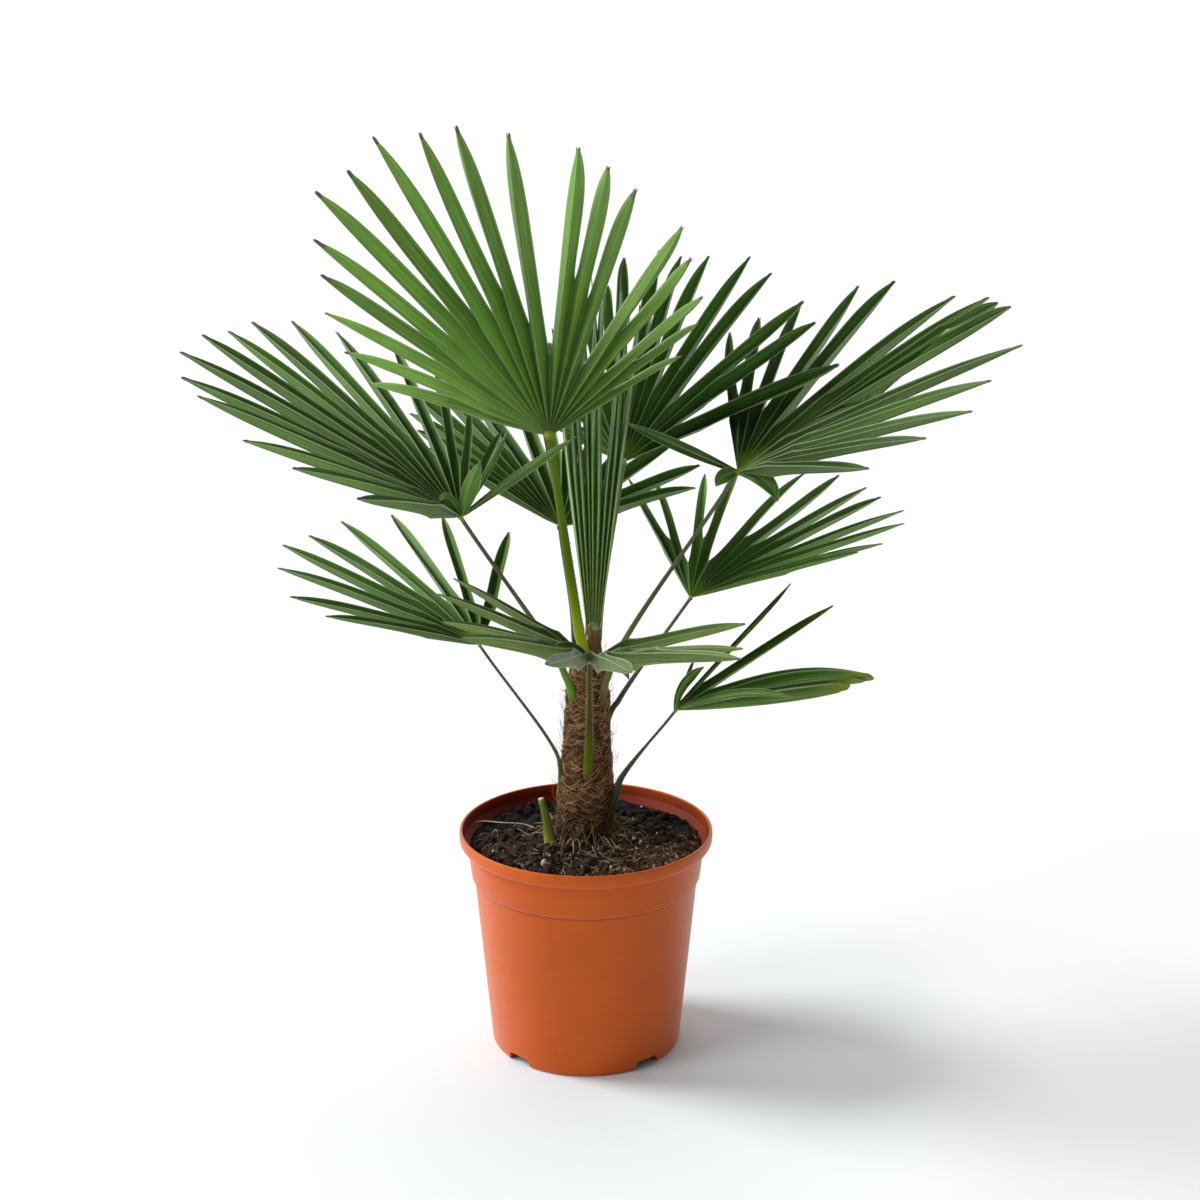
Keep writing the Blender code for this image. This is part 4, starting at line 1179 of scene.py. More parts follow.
def add_foot_strands(draw, strands, radius):
    """Fibres that come down the trunk's foot and run out over the soil."""
    for _ in range(170):
        turn, aside = draw.uniform(0, 2 * math.pi), draw.uniform(-0.5, 0.5)
        high, length = draw.uniform(0.004, 0.020), draw.uniform(0.006, 0.030)
        start = on_trunk(turn, SOIL_MOUND_HEIGHT + high, 0.0004)
        away = trunk_radius(SOIL_MOUND_HEIGHT) + length
        x = TRUNK_FOOT[0] + away * math.cos(turn + aside)
        y = TRUNK_FOOT[1] + away * math.sin(turn + aside)
        end = Vector((x, y, soil_height(x, y) + clod_height(x, y) + 0.0008))
        knee = start.lerp(end, 0.4) - Vector((0.0, 0.0, 0.35 * high))
        path = []
        for step in range(9):
            share = step / 8
            path.append(start.lerp(knee, share).lerp(knee.lerp(end, share), share))
        strands[draw.choice(("dark", "tan", "pale"))].add(path, radius * draw.uniform(0.8, 1.5))


def build_fibres(settings):
    """Patches of woven fibre all over the trunk, crossing threads, stray hairs and the top sheath."""
    draw = random.Random(77)
    low, high = TRUNK_PROFILE[0][0], TRUNK_PROFILE[-1][0]
    strands = {"dark": Strands(), "tan": Strands(), "pale": Strands()}
    for patch in range(settings.patches):
        height = low + (high - low - 0.006) * (patch + 0.5) / settings.patches
        fibre_patch(draw, strands, math.radians(patch * GOLDEN_ANGLE), height, settings.fibre_radius)
    for _ in range(460):
        turn, z = draw.uniform(0, 2 * math.pi), draw.uniform(low + 0.002, high - 0.012)
        slant, length = draw.uniform(-1.4, 1.4), draw.uniform(0.008, 0.022)
        path = []
        for step in range(6):
            s = step / 5 * length
            height = z + s * math.cos(slant)
            if low < height < high - 0.004:
                path.append(on_trunk(turn + s * math.sin(slant) / trunk_radius(height), height, 0.0008))
        if len(path) > 3:
            strands[draw.choice(("dark", "dark", "tan", "pale"))].add(path, settings.fibre_radius * 0.6)
    add_foot_strands(draw, strands, settings.fibre_radius)
    for tone, colour in (("dark", settings.fibre_dark), ("tan", settings.fibre_tan),
                         ("pale", settings.fibre_pale)):
        finish = fibre_finish(f"fibre_{tone}", colour, on_trunk=True)
        hand_over(strands[tone].piece(f"trunk_fibres_{tone}", finish), "trunk")
    hairs = Strands()
    for _ in range(560):
        turn = draw.uniform(0, 2 * math.pi)
        z = low + (high - low - 0.006) * draw.random() ** 0.7
        out = Vector((math.cos(turn), math.sin(turn), 0.0))
        aside = Vector((-out.y, out.x, 0.0)) * draw.uniform(-0.7, 0.7)
        climb, length = draw.uniform(0.2, 1.5), draw.uniform(0.005, 0.015)
        start = on_trunk(turn, z, 0.0)
        path = []
        for step in range(6):
            s = step / 5
            along = (out * (0.9 - 0.4 * s) + aside * s + Vector((0, 0, climb * s))) * length * s
            path.append(start + along)
        hairs.add(path, draw.uniform(0.00010, 0.00020), 0.3)
    hand_over(hairs.piece("trunk_hairs", bpy.data.materials["fibre_tan"], 3), "trunk")
    build_sheath(settings, draw)


def build_sheath(settings, draw):
    """The young papery sheath that wraps the newest stalks above the trunk, frayed at its edge."""
    threads = Strands()
    top = TRUNK_PROFILE[-1][0]
    centre = Vector((*SPEAR_FOOT, 0.0))
    for _ in range(90):
        turn = draw.uniform(0, 2 * math.pi)
        out = Vector((math.cos(turn), math.sin(turn), 0.0))
        foot, height = top - draw.uniform(0.004, 0.016), draw.uniform(0.012, 0.034)
        wind, flare = draw.uniform(-0.5, 0.5), draw.choice((0.0, 0.0, 0.0, 0.0, 0.004))
        path = []
        for step in range(8):
            s = step / 7
            around = Matrix.Rotation(wind * s, 3, "Z") @ out
            radius = 0.0098 - 0.0042 * min(1.0, s * 1.6) + flare * s**3
            path.append(centre + around * radius + Vector((0.0, 0.0, foot + height * s)))
        threads.add(path, draw.uniform(0.00022, 0.00052), 0.3)
    hand_over(threads.piece("top_sheath", fibre_finish("sheath", settings.sheath_colour), 4), "trunk")


def limb_mesh(name, path, finish, upward, flat=0.45, sides=PETIOLE_SIDES, widen=0.0):
    """A stalk along (point, radius) stations: round below, flatter on its upper side."""
    points, faces, runs, rounds, margins = [], [], [], [], ([], [])
    total = sum((b[0] - a[0]).length for a, b in zip(path, path[1:]))
    gone = 0.0
    up = Vector(upward)
    for i, (place, radius) in enumerate(path):
        before, after = path[max(i - 1, 0)][0], path[min(i + 1, len(path) - 1)][0]
        along = (after - before).normalized()
        side = along.cross(up).normalized()
        up = side.cross(along).normalized()
        gone += (place - path[max(i - 1, 0)][0]).length
        run = gone / total
        wide = 1 + widen * max(0.0, 1 - run / 0.22)
        for step in range(sides):
            turn = 2 * math.pi * step / sides
            across, rise = math.cos(turn), math.sin(turn)
            if rise > 0:
                rise *= flat + (1 - flat) * abs(across) ** 2 * 0.5
            points.append(place + side * (across * radius * wide) + up * (rise * radius))
            runs.append(run)
            rounds.append(abs(2 * step / sides - 1))
        for margin, way in zip(margins, (1, -1)):
            margin.append((place + side * (way * radius * wide * 0.97), side * way + up * 0.35))
    for ring in range(len(path) - 1):
        here, there = ring * sides, (ring + 1) * sides
        for i in range(sides):
            j = (i + 1) % sides
            faces.append((here + j, here + i, there + i, there + j))
    faces.append(tuple(range(sides)))
    last = (len(path) - 1) * sides
    faces.append(tuple(reversed(range(last, last + sides))))
    made = mesh_piece(name, points, faces, [finish])
    for label, values in (("run", runs), ("round", rounds)):
        made.data.attributes.new(label, "FLOAT", "POINT").data.foreach_set("value", values)
    return made, margins


def knob_radius(tip_radius):
    return tip_radius * KNOB_RATIO


def knob_stations(hub, along, tip_radius):
    """The swelling at a petiole's end, from which the leaflets spread."""
    radius = knob_radius(tip_radius)
    stations = []
    for share in KNOB_SHARES:
        swell = radius * math.sqrt(1 - share * share)
        if share < 0:
            swell = max(swell, tip_radius)
        stations.append((hub + along * (radius * share), swell))
    return stations


def petiole_path(frond):
    """Stations up the trunk's side, then along a smooth curve to the hub."""
    petiole = frond.petiole
    turn = math.radians(petiole.azimuth)
    outward = Vector((math.cos(turn), math.sin(turn), 0.0))
    path = []
    for share in CLASP_SHARES:
        height = petiole.foot + (petiole.clasp - petiole.foot) * share
        x, y = trunk_axis(height)
        radius = petiole.base_radius * (1 - CLASP_TAPER * share)
        sunk = 2 * radius * (1 - share) ** 0.7
        away = trunk_radius(height) + radius + GAP - sunk + petiole.lean * share * share
        path.append((Vector((x, y, height)) + outward * away, radius))
    start, start_radius = path[-1]
    hub = Vector(frond.hub)
    span = hub - start
    leave = (start - path[0][0]).normalized() * span.length * petiole.rise
    along = span.normalized()
    arrive = along * span.length
    knob = knob_stations(hub, along, petiole.tip_radius)
    end = knob[0][0]
    for step in range(1, PETIOLE_STEPS):
        t = step / PETIOLE_STEPS
        place = (
            start * (2 * t**3 - 3 * t**2 + 1)
            + leave * (t**3 - 2 * t**2 + t)
            + end * (3 * t**2 - 2 * t**3)
            + arrive * (t**3 - t**2)
        )
        radius = start_radius + (petiole.tip_radius - start_radius) * min(1.0, t / PETIOLE_TAPER_RUN)
        path.append((place, radius))
    return path + knob


STALK_TONES = {
    "front_high": (srgb(140, 162, 2), srgb(88, 114, 8)),
    "left_high": (srgb(100, 138, 30), srgb(88, 94, 66)),
    "left_low": (srgb(80, 88, 48), srgb(80, 86, 62)),
    "front_low": (srgb(92, 106, 8), srgb(72, 66, 20)),
    "right_high": (srgb(94, 116, 44), srgb(84, 92, 62)),
    "right_middle": (srgb(58, 58, 40), srgb(84, 93, 70)),
    "right_low": (srgb(44, 62, 20), srgb(76, 80, 66)),
    "back_right": (srgb(112, 135, 76), srgb(102, 130, 69)),
    "back_left": (srgb(64, 85, 38), srgb(71, 95, 45)),
}


def build_petioles():
    """One stalk for each frond, with small teeth along both its margins."""
    teeth_finish = fibre_finish("petiole_tooth", srgb(150, 156, 100))
    points, edges, outwards = [], [], []
    for name, frond in FRONDS.items():
        turn = math.radians(frond.petiole.azimuth)
        inward = (-math.cos(turn), -math.sin(turn), 0.0)
        finish = stalk_finish(f"petiole_{name}_skin", *STALK_TONES[name])
        made, margins = limb_mesh(f"stalk_{name}", petiole_path(frond), finish, inward, widen=FOOT_WIDENS.get(name, 0.08))
        hand_over(made, "petiole", f"petiole_{name}")
        for margin in margins:
            for i, (place, outward) in enumerate(margin[6:-14]):
                if i:
                    edges.append((len(points) - 1, len(points)))
                points.append(place)
                outwards.append(outward)
    inputs = {"Spacing": 0.0045, "Length": 0.0020, "Seed": 5, "Material": teeth_finish}
    made = grown("petiole_teeth", "teeth", points, edges, {"outward": ("FLOAT_VECTOR", outwards)}, inputs)
    hand_over(made, "petiole")


class Fan:
    """The rule that places a frond's leaflets: directions from the hub, lengths and folds."""

    def __init__(self, frond, knob):
        self.frond = frond
        self.start = max(frond.start, knob + GAP)
        azimuth, elevation = (math.radians(angle) for angle in frond.axis)
        roll = math.radians(frond.roll)
        self.axis = Vector(
            (
                math.cos(elevation) * math.cos(azimuth),
                math.cos(elevation) * math.sin(azimuth),
                math.sin(elevation),
            )
        )
        level = Vector((-math.sin(azimuth), math.cos(azimuth), 0.0))
        upright = self.axis.cross(level)
        self.side = level * math.cos(roll) + upright * math.sin(roll)
        self.up = upright * math.cos(roll) - level * math.sin(roll)
        self.set_leaflets()

    def set_leaflets(self):
        """The ribs' angles and reaches, with a small seeded unevenness."""
        frond = self.frond
        draw = random.Random(frond.seed)
        first, last = frond.spread
        pitch = abs(last - first) / (frond.leaflets - 1)
        jitter = min(TURN_JITTER, TURN_JITTER_SHARE * pitch)
        turns = [draw.uniform(-jitter, jitter) for _ in range(frond.leaflets)]
        stretch = [draw.uniform(-REACH_JITTER, REACH_JITTER) for _ in range(frond.leaflets)]
        even = [k / (frond.leaflets - 1) for k in range(frond.leaflets)]
        shares = [share + frond.crowding * share * (1 - share) for share in even]
        angles = [first + (last - first) * share for share in shares]
        pull = 1.0 if frond.closing else BUNDLE_PULL
        self.bundled = set()
        for start, end in frond.bundles:
            middle = sum(angles[start : end + 1]) / (end + 1 - start)
            for k in range(start, end + 1):
                angles[k] = middle + (angles[k] - middle) * pull
                self.bundled.add(k)
        self.ribs = [math.radians(angle + turn) for angle, turn in zip(angles, turns)]
        self.reaches = []
        for share, longer in zip(shares, stretch):
            end_share = frond.end_shares[0 if share < 0.5 else 1]
            fall = (1 - end_share) * abs(2 * share - 1) ** frond.roundness
            self.reaches.append(frond.reach * (1 - fall) * (1 + longer))

    def folds(self):
        """(angle, split distance) of each fold beside the ribs: close ribs stay joined for longer."""
        ribs, reaches, joined = self.ribs, self.reaches, self.frond.joined
        nominal = abs(ribs[-1] - ribs[0]) / (len(ribs) - 1)
        found = []
        for k in range(len(ribs) - 1):
            share = joined * nominal / abs(ribs[k + 1] - ribs[k])
            share = min(max(share, SHALLOWEST_JOIN), DEEPEST_JOIN)
            if any(start <= k < end for start, end in self.frond.bundles):
                share = max(share, self.frond.bundle_join)
            found.append(((ribs[k] + ribs[k + 1]) / 2, share * min(reaches[k : k + 2])))
        first_join = max(joined, self.frond.bundle_join) if 0 in self.bundled else joined
        outer = [(2 * ribs[0] - found[0][0], reaches[0] * first_join)]
        last = [(2 * ribs[-1] - found[-1][0], reaches[-1] * joined)]
        return outer + found + last

    def squeeze(self, k, distance):
        """The share of its breadth that leaflet k's bundle keeps at a distance from the hub."""
        if not self.frond.closing or k not in self.bundled:
            return 1.0
        return 1 - self.frond.closing[0] * (distance / self.frond.reach) ** CLOSING_POWER

    def drawn(self, k, angle, distance):
        """An angle on leaflet k, drawn towards the tips of a closing bundle."""
        if not self.frond.closing:
            return angle
        tip = math.radians(self.frond.closing[1])
        return tip + (angle - tip) * self.squeeze(k, distance)

    def direction(self, angle):
        rise = math.radians(self.frond.cup) * (1 - math.cos(angle))
        flat = self.axis * math.cos(angle) + self.side * math.sin(angle)
        return flat * math.cos(rise) + self.up * math.sin(rise)

    def place(self, angle, distance, reach, lift=0.0):
        """A point on the blade and the blade's own upward direction there."""
        along = self.direction(angle)
        step = 0.01
        across = self.direction(angle + step) - self.direction(angle - step)
        above = along.cross(across).normalized()
        sag = self.frond.droop * reach * (distance / reach) ** 2
        return Vector(self.frond.hub) + along * distance + above * lift - Vector((0, 0, sag)), above


class Shell:
    """A thin closed blade: every place has a point above and below, and open edges get a rim."""

    def __init__(self, thickness):
        self.half = thickness / 2
        self.above, self.below, self.uvs, self.panels = [], [], [], []

    def add(self, place, up, uv, rib=0.0):
        self.above.append(place + up * self.half)
        self.below.append(place - up * (self.half + rib))
        self.uvs.append(uv)
        return len(self.above) - 1

    def strip(self, first, second, finishes, flip):
        """Panels between two rows; finishes gives the materials above and below for each panel."""
        for i in range(len(first) - 1):
            corners = (first[i], second[i], second[i + 1], first[i + 1])
            self.panels.append((corners[::-1] if flip else corners, *finishes[i]))

    def piece(self, name, finishes):
        count = len(self.above)
        faces, indices, open_edges = [], [], {}
        for corners, above, below in self.panels:
            faces += [corners, tuple(count + c for c in reversed(corners))]
            indices += [above, below]
            for first, second in zip(corners, corners[1:] + corners[:1]):
                if (second, first) in open_edges:
                    del open_edges[(second, first)]
                else:
                    open_edges[(first, second)] = above
        for (first, second), finish in open_edges.items():
            faces.append((second, first, count + first, count + second))
            indices.append(finish)
        made = mesh_piece(name, self.above + self.below, faces, finishes, indices)
        uvs = self.uvs + self.uvs
        layer = made.data.uv_layers.new(name="veins")
        for loop in made.data.loops:
            layer.data[loop.index].uv = uvs[loop.vertex_index]
        made.data.set_sharp_from_angle(angle=math.radians(50))
        return made


def columns(rib_share):
    """Positions across a leaflet, from fold to rib to fold, with the rib's own strip in the middle."""
    outer = [rib_share + (1 - rib_share) * share for share in (1 / 3, 2 / 3, 1)]
    half = [rib_share] + outer
    return [-value for value in reversed(half)] + [0.0] + half


TONES = 3
RIB_COLUMNS = (3, 4)


class Character(NamedTuple):
    """How one leaflet differs from its neighbours: its twist, sideways bow, dip, tone and dry tip."""

    twist: float
    bow: float
    dip: float
    tone: int
    dry: float


def leaflet_character(draw):
    return Character(
        twist=math.radians(draw.uniform(-16, 16)),
        bow=draw.uniform(-0.014, 0.014),
        dip=draw.uniform(0.0, 0.012),
        tone=draw.randrange(TONES),
        dry=draw.choice((0.01, 0.01, 0.02, 0.03, 0.04, 0.06)),
    )


def panel_finishes(tone, dry=False):
    """(above, below) material numbers for the panels across a leaflet."""
    rib, dry_tip = TONES * 2, TONES * 2 + 2
    made = []
    for column in range(8):
        if dry:
            made.append((dry_tip, dry_tip))
        elif column in RIB_COLUMNS:
            made.append((rib + 1, rib))
        else:
            made.append((tone, TONES + tone))
    return made


def leaflet_shape(t):
    """A free leaflet's width along it, as a share of its width at the split: a strap with a blunt tip."""
    waist = LEAFLET_WAIST * (1 - math.exp(-t / LEAFLET_WAIST_RUN))
    return (1 - waist + LEAFLET_SWELL * t) * (1 - t**LEAFLET_TAPER)


def leaf_finishes(family, leaf):
    """Upper and lower skins in three tones, the ribs below and above, and the dry tip."""
    found = bpy.data.materials.get(f"leaf_{family}_upper_0")
    if not found:
        colour = getattr(leaf, family)
        under = between(colour, leaf.under, 0.15)
        tip = leaf.yellow_tip if family == "lowest" else None
        # How far out the painted fold shade reaches for each family.
        fold_shade_run = (3.0, 0.5) if family in ("lowest", "closed") else (0.62, 0.12)
        veins = 2.6 if family in ("lowest", "closed") else 1.9
        for tone, share in enumerate((0.80, 1.0, 1.22)):
            leaf_finish(f"leaf_{family}_upper_{tone}", shade(colour, share), veins, 0.36, 0.35, 0.6, tip, fold_shade_run)
            leaf_finish(f"leaf_{family}_under_{tone}", shade(under, share), 1.6, 0.5, 0.35, 0.0, tip, fold_shade_run)
        leaf_finish(f"leaf_{family}_rib", shade(leaf.rib, sum(colour[:3]) / sum(leaf.fresh[:3])), 1.1, 0.45)
        # The rib's upper side is paler, with the painted highlight mixed in.
        leaf_finish(f"leaf_{family}_upper_rib", between(shade(colour, 1.7), LEAF_GLINT, 0.3), 1.1, 0.4)
        leaf_finish(f"leaf_{family}_dry_tip", leaf.dry_tip, 0.8, 0.6)
    names = [f"upper_{tone}" for tone in range(TONES)] + [f"under_{tone}" for tone in range(TONES)]
    names += ["rib", "upper_rib", "dry_tip"]
    return [bpy.data.materials[f"leaf_{family}_{name}"] for name in names]


def rib_size(leaf, share):
    """Half-width and height of a rib, at a share of the way to the leaflet's tip."""
    left = max(0.0, 1 - share)
    return leaf.rib_width * (0.3 + 0.7 * left), leaf.rib_height * left**0.8


class Blade:
    """Builds one frond's fine blade by the fan's rule."""

    def __init__(self, frond, knob, leaf):
        self.frond, self.leaf = frond, leaf
        self.fan = Fan(frond, knob)
        self.folds = self.fan.folds()
        self.count = frond.leaflets
        self.way = math.copysign(1.0, frond.spread[1] - frond.spread[0])
        self.shell = Shell(leaf.thickness)
        draw = random.Random(frond.seed + 5000)
        self.characters = [leaflet_character(draw) for _ in range(self.count)]

    def split_at(self, k, u):
        """How far from the hub the leaflet splits from its neighbour, across its width."""
        low, high = self.folds[k][1], self.folds[k + 1][1]
        return low + (high - low) * (u + 1) / 2

    def halves(self, k):
        """The angles from a leaflet's rib to the folds on its two sides."""
        return [abs(self.folds[k + side][0] - self.fan.ribs[k]) for side in (0, 1)]

    def pleat_lift(self, widths, u):
        """The height of the fold's side at a share of its width: its rib lies low, its edges high."""
        low, high = -sum(widths) / 2, widths[0 if u < 0 else 1]
        return self.frond.pleat * (low + (high - low) * abs(u) ** PLEAT_ARCH)

    def joined_point(self, k, u, share):
        rib = self.fan.ribs[k]
        fold = self.folds[k if u < 0 else k + 1][0]
        split = self.split_at(k, u)
        distance = self.fan.start + (split - self.fan.start) * share
        reach = self.fan.reaches[k]
        if u > 0:
            reach += (self.fan.reaches[min(k + 1, self.count - 1)] - reach) * u
        lift = self.pleat_lift([half * distance for half in self.halves(k)], u)
        lift *= self.fan.squeeze(k, distance)
        angle = self.fan.drawn(k, rib + abs(u) * (fold - rib), distance)
        place, up = self.fan.place(angle, distance, reach, lift)
        along = distance / reach
        rib_depth = rib_size(self.leaf, along)[1] if u == 0 else 0.0
        return self.shell.add(place, up, (abs(u), along), rib_depth * min(1.0, share * 6))

    def joined_row(self, share):
        row = []
        for k in range(self.count):
            rib, fold = self.fan.ribs[k], self.folds[k][0]
            distance = self.fan.start + (self.split_at(k, 0) - self.fan.start) * share
            half = abs(fold - rib) * distance
            rib_share = min(0.5, rib_size(self.leaf, distance / self.fan.reaches[k])[0] / half)
            across = columns(rib_share)
            row += [self.joined_point(k, u, share) for u in across[: 8 if k < self.count - 1 else 9]]
        return row

    def free_row(self, k, t, last):
        """One row across a free leaflet, with its twist, bow and dip."""
        fan, own = self.fan, self.characters[k]
        rib, reach = fan.ribs[k], fan.reaches[k]
        shape = max(leaflet_shape(t), TIP_WIDTH)
        middle = self.split_at(k, 0) + (reach - self.split_at(k, 0)) * t
        rib_half, rib_depth = rib_size(self.leaf, middle / reach)
        row = []
        shape *= 1 - (1 - self.frond.slim) * (1 - math.exp(-t / SLIMMING_RUN))
        widths = []
        for i, half in enumerate(self.halves(k)):
            split = self.folds[k + i][1]
            widths.append(half * split * shape * fan.squeeze(k, split))
        rib_share = min(0.45, rib_half / min(widths))
        twist = own.twist * t * t
        for u in columns(rib_share):
            side = -self.way if u < 0 else self.way
            width = widths[0 if u < 0 else 1]
            split = self.split_at(k, u)
            distance = split + (reach - split) * t
            if last:
                distance -= TIP_NOTCH * abs(2 * abs(u) - 1)
            lift = self.pleat_lift(widths, u) * (1 - PLEAT_FLATTENS * t)
            across = side * abs(u) * width
            lift += self.way * across * math.sin(twist) - own.dip * reach * t**3
            middle_angle = fan.drawn(k, rib, distance) + own.bow * math.sin(math.pi * t)
            angle = middle_angle + across * math.cos(twist) / distance
            place, up = fan.place(angle, distance, reach, lift)
            depth = rib_depth if u == 0 else 0.0
            row.append(self.shell.add(place, up, (abs(u), distance / reach), depth))
        return row

    def build(self):
        flip = self.way < 0
        rows = [self.joined_row((row / JOINED_ROWS) ** 1.2) for row in range(JOINED_ROWS + 1)]
        finishes = []
        for own in self.characters:
            finishes += panel_finishes(own.tone)
        for first, second in zip(rows, rows[1:]):
            self.shell.strip(first, second, finishes, flip)
        for k, own in enumerate(self.characters):
            before = rows[-1][8 * k : 8 * k + 9]
            for step in range(1, FREE_ROWS + 1):
                t = 1 - (1 - step / FREE_ROWS) ** 1.25
                after = self.free_row(k, t, step == FREE_ROWS)
                self.shell.strip(before, after, panel_finishes(own.tone, t > 1 - own.dry), flip)
                before = after

    def add_stray(self, stray):
        """A small bent leaflet from the hub, on a curve through its bend."""
        hub, bend, tip = Vector(self.frond.hub), Vector(stray.bend), Vector(stray.tip)
        start = hub.lerp(bend, 0.06)
        facing = Vector(stray.facing).normalized()
        before, rows = None, 22
        length = (bend - start).length + (tip - bend).length
        for step in range(rows + 1):
            t = step / rows
            place = start.lerp(bend, t).lerp(bend.lerp(tip, t), t)
            along = ((bend - start) * (1 - t) + (tip - bend) * t).normalized()
            side = facing.cross(along).normalized()
            up = along.cross(side)
            width = stray.width * (0.22 + 1.1 * t) * (1 - t**2.2) if t < 1 else 0.0004
            rib_half, rib_depth = rib_size(self.leaf, t)
            row = []
            for u in columns(min(0.45, rib_half / max(width, 0.0006))):
                lift = 0.35 * width * abs(u) ** PLEAT_ARCH
                point = place + side * (u * width) + up * lift
                row.append(self.shell.add(point, up, (abs(u), t), rib_depth * (u == 0)))
            if before:
                self.shell.strip(before, row, panel_finishes(stray.tone, t > 0.94), True)
            before = row
        return length


def build_fronds(leaf):
    """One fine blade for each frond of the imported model."""
    for name, frond in FRONDS.items():
        blade = Blade(frond, knob_radius(frond.petiole.tip_radius), leaf)
        blade.build()
        for stray in STRAYS:
            if stray.frond == name:
                blade.add_stray(stray)
        made = blade.shell.piece(f"leaf_{name}", leaf_finishes(frond.family, leaf))
        hand_over(made, "frond", f"frond_{name}")


def build_spear(leaf):
    """The closed youngest leaf on its own short stem."""
    radius = knob_radius(SPEAR_STEM_RADIUS)
    blade = Blade(SPEAR._replace(start=SPEAR.start - 1.5 * radius), radius, leaf)
    foot = Vector((*SPEAR_FOOT, TRUNK_PROFILE[-1][0] + GAP))
    top = Vector(SPEAR.hub) + blade.fan.axis * (SPEAR.start - GAP - radius)
    knob = knob_stations(top, (top - foot).normalized(), SPEAR_STEM_RADIUS)
    path = [(foot.lerp(knob[0][0], share), SPEAR_STEM_RADIUS) for share in (0.0, 0.33, 0.66)]
    finish = stalk_finish("spear_stem_skin", srgb(154, 157, 85), srgb(135, 159, 95))
    made, _ = limb_mesh("closed_leaf_stem", path + knob, finish, (0.0, 1.0, 0.0), flat=1.0)
    hand_over(made, "petiole", "spear_stem")
    blade.build()
    made = blade.shell.piece("closed_leaf", leaf_finishes(SPEAR.family, leaf))
    hand_over(made, "frond", "spear_blade")


def build_stub():
    """A petiole cut off short, beside the trunk's foot, with a dry cut end."""
    foot = Vector((*STUB_FOOT, soil_height(*STUB_FOOT) - 0.006))
    tip = Vector(STUB_TIP)
    path = []
    for step in range(13):
        share = step / 12
        radius = STUB_FOOT_RADIUS * 1.25 + (STUB_TIP_RADIUS - STUB_FOOT_RADIUS * 1.25) * share**0.7
        path.append((foot.lerp(tip, share) + Vector((0.0012, 0, 0)) * math.sin(math.pi * share), radius))
    finish = stalk_finish("stub_skin", srgb(145, 154, 50), srgb(102, 112, 45), srgb(112, 97, 50))
    made, _ = limb_mesh("stub_stalk", path, finish, (0.4, 0.3, 0.8), flat=0.8)
    made.data.materials.append(fibre_finish("cut_end", srgb(226, 204, 160)))
    made.data.polygons[-1].material_index = 1
    hand_over(made, "petiole", "cut_stub")


class Light(NamedTuple):
    """A soft light far away: the way to it, and its strength."""

    towards: tuple
    strength: float


KEY_SPREAD = 24.0
KEYS = (
    Light((-0.76, 0.20, 0.60), 2.70),
    Light((-0.76, -0.38, 0.52), 0.88),
)
SOFT_BOXES = (
    Light((-1.0, 0.0, 0.25), 0.30),
    Light((0.0, 1.0, 0.25), 1.50),
    Light((0.0, 0.0, 1.00), 0.12),
    Light((0.0, -1.0, 0.25), 0.26),
    Light((1.0, 0.0, 0.25), 0.10),
)


def build_surround(studio):
    """Soft boxes round the plant, which the camera sees as a plain white room."""
    world = bpy.data.worlds.new("studio_surround")
    world.use_nodes = True
    graph = Graph(world.node_tree)
    towards = graph.add("ShaderNodeTexCoord").outputs["Generated"]
    light = 0.0
    for box in SOFT_BOXES:
        way = Vector(box.towards).normalized()
        near = graph.add("ShaderNodeVectorMath", {0: towards, 1: way}, operation="DOT_PRODUCT").outputs["Value"]
        near = graph.math("MAXIMUM", near)
        glow = graph.math("MULTIPLY", graph.math("MULTIPLY", near, near), box.strength * studio.soft_strength)
        light = graph.math("ADD", glow, light)
    seen = graph.add("ShaderNodeLightPath").outputs["Is Camera Ray"]
    strength = graph.add("ShaderNodeMix", {0: seen, 2: light, 3: 1.0}, data_type="FLOAT").outputs[0]
    graph.tree.links.new(strength, world.node_tree.nodes["Background"].inputs["Strength"])
    world.node_tree.nodes["Background"].inputs["Color"].default_value = (1.0, 1.0, 1.0, 1.0)
    bpy.context.scene.world = world


def build_studio(studio):
    """A pale floor, the surround, a soft key from the left, and the camera."""
    made, graph, shader, place = new_finish("studio_floor")
    faint = graph.noise(place, 1.5, 2.0)
    tint = graph.blend(graph.spread(faint, 0.3, 0.7), shade(studio.floor_colour, 0.99), studio.floor_colour)
    away = graph.add("ShaderNodeVectorMath", {0: place}, operation="LENGTH").outputs["Value"]
    # Painted: the floor near the pot is darker and cooler, which cancels the pot's reddish bounce light.
    tint = graph.blend(graph.spread(away, 0.42, 0.10), tint, studio.near_colour)
    dress(graph, shader, tint, 0.9)
    shader.inputs["Specular IOR Level"].default_value = 0.1
    half = 60.0
    corners = [(-half, -half, 0.0), (half, -half, 0.0), (half, half, 0.0), (-half, half, 0.0)]
    mesh_piece("studio_floor", corners, [(0, 1, 2, 3)], [made], smooth=False)
    build_surround(studio)
    for light in KEYS:
        key = bpy.data.lights.new("key", "SUN")
        key.energy = light.strength * studio.key_strength
        key.angle = math.radians(KEY_SPREAD)
        lamp = bpy.data.objects.new("key", key)
        lamp.rotation_euler = Vector(light.towards).to_track_quat("Z", "Y").to_euler()
        bpy.context.scene.collection.objects.link(lamp)
    lens = bpy.data.cameras.new("camera")
    lens.lens = 67.95
    lens.sensor_width = 36.0
    lens.clip_end = 200.0
    camera = bpy.data.objects.new("camera", lens)
    camera.location = (0.0133, -2.0, 1.024)
    camera.rotation_euler = (math.radians(90 - 16.3), 0.0, 0.0)
    bpy.context.scene.collection.objects.link(camera)
    bpy.context.scene.camera = camera
    bpy.context.scene.view_settings.view_transform = "Standard"


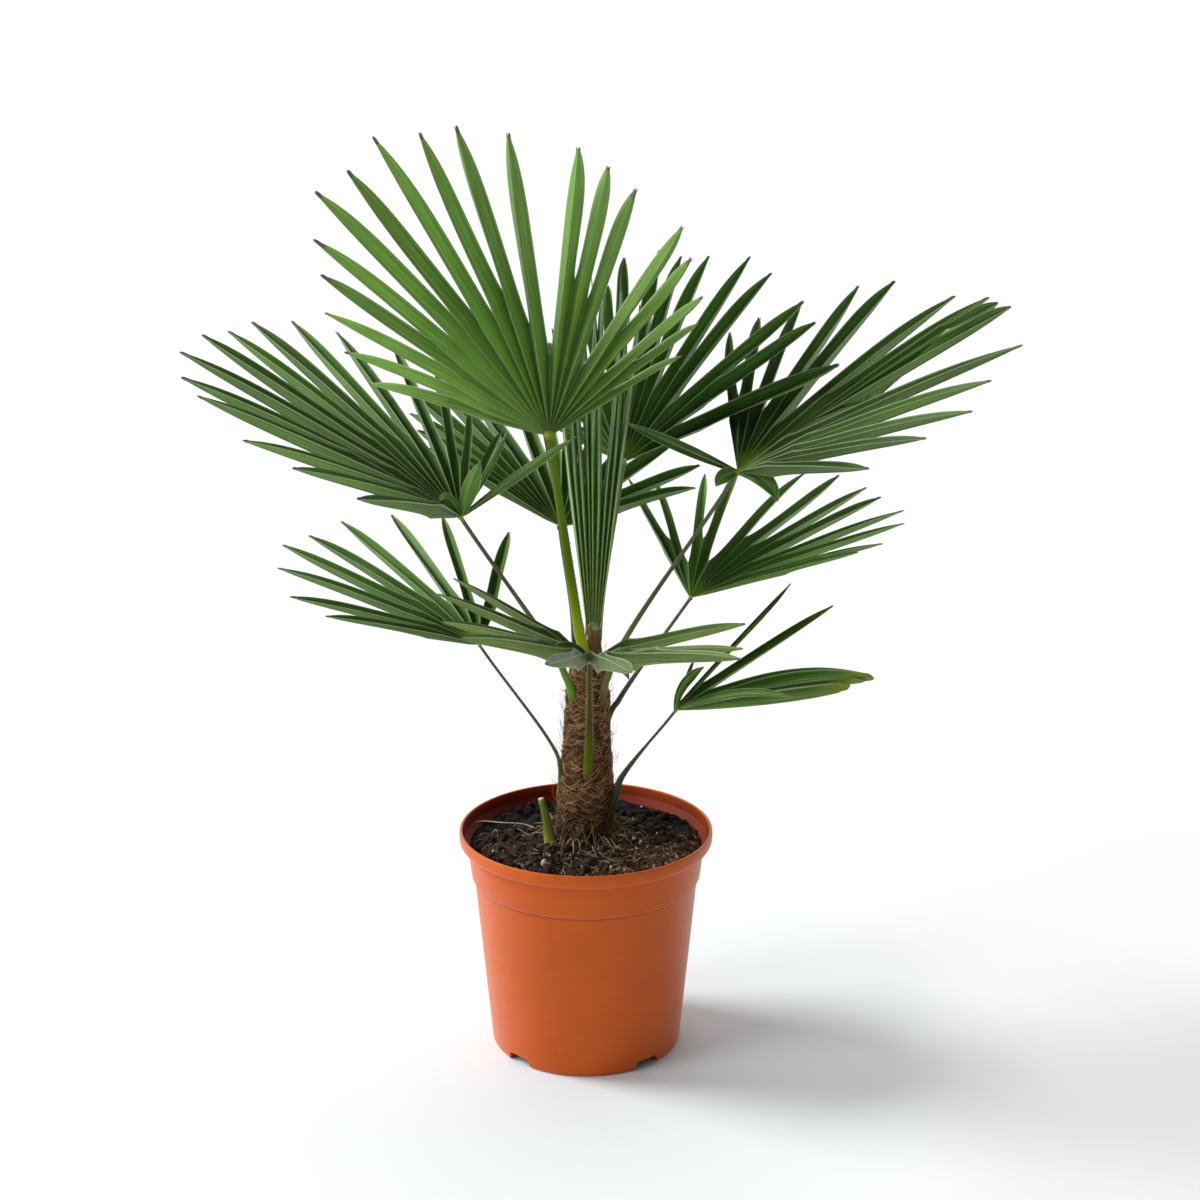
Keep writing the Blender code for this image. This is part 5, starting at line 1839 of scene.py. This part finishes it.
class MakePot(bpy.types.Operator):
    """Make the nursery pot with its rolled lip and drainage notches"""

    bl_idname = "palm.make_pot"
    bl_label = "Pot"

    def execute(self, context):
        build_pot(context.scene.palm.pot)
        return {"FINISHED"}


class MakeSoil(bpy.types.Operator):
    """Make the soil bed and the crumbs, perlite and roots on it"""

    bl_idname = "palm.make_soil"
    bl_label = "Soil"

    def execute(self, context):
        build_soil(context.scene.palm.soil)
        build_litter(context.scene.palm.soil)
        return {"FINISHED"}


class MakeTrunk(bpy.types.Operator):
    """Make the trunk's woven mat, its fibres and hairs"""

    bl_idname = "palm.make_trunk"
    bl_label = "Trunk"

    def execute(self, context):
        build_trunk(context.scene.palm.trunk)
        return {"FINISHED"}


class MakePetioles(bpy.types.Operator):
    """Make the leaf stalks and the cut stub"""

    bl_idname = "palm.make_petioles"
    bl_label = "Petioles"

    def execute(self, context):
        build_petioles()
        build_stub()
        return {"FINISHED"}


class MakeFronds(bpy.types.Operator):
    """Make the open fans, leaflet by leaflet"""

    bl_idname = "palm.make_fronds"
    bl_label = "Fronds"

    def execute(self, context):
        build_fronds(context.scene.palm.leaf)
        return {"FINISHED"}


class MakeSpear(bpy.types.Operator):
    """Make the closed youngest leaf"""

    bl_idname = "palm.make_spear"
    bl_label = "Spear"

    def execute(self, context):
        build_spear(context.scene.palm.leaf)
        return {"FINISHED"}


class MakeStudio(bpy.types.Operator):
    """Make the floor, lights and camera"""

    bl_idname = "palm.make_studio"
    bl_label = "Studio"

    def execute(self, context):
        build_studio(context.scene.palm.studio)
        return {"FINISHED"}


STEPS = (MakeStudio, MakePot, MakeSoil, MakeTrunk, MakePetioles, MakeFronds, MakeSpear)


class PalmPanel(bpy.types.Panel):
    """Lists the palm's settings and the steps that make it"""

    bl_idname = "VIEW3D_PT_palm"
    bl_label = "Windmill palm"
    bl_space_type = "VIEW_3D"
    bl_region_type = "UI"
    bl_category = "Palm"

    def draw(self, context):
        palm = context.scene.palm
        for group in (palm.pot, palm.soil, palm.trunk, palm.leaf, palm.studio):
            box = self.layout.box()
            for name in group.__annotations__:
                box.prop(group, name)
        for step in STEPS:
            self.layout.operator(step.bl_idname)


CLASSES = (
    PotSettings, SoilSettings, TrunkSettings, LeafSettings, StudioSettings, PalmSettings, *STEPS, PalmPanel,
)


def register():
    for each in CLASSES:
        bpy.utils.register_class(each)
    bpy.types.Scene.palm = PointerProperty(type=PalmSettings)


def unregister():
    del bpy.types.Scene.palm
    for each in reversed(CLASSES):
        bpy.utils.unregister_class(each)


def main():
    register()
    bpy.ops.palm.make_studio()
    bpy.ops.palm.make_pot()
    bpy.ops.palm.make_soil()
    bpy.ops.palm.make_trunk()
    bpy.ops.palm.make_petioles()
    bpy.ops.palm.make_fronds()
    bpy.ops.palm.make_spear()


if __name__ == "__main__":
    main()
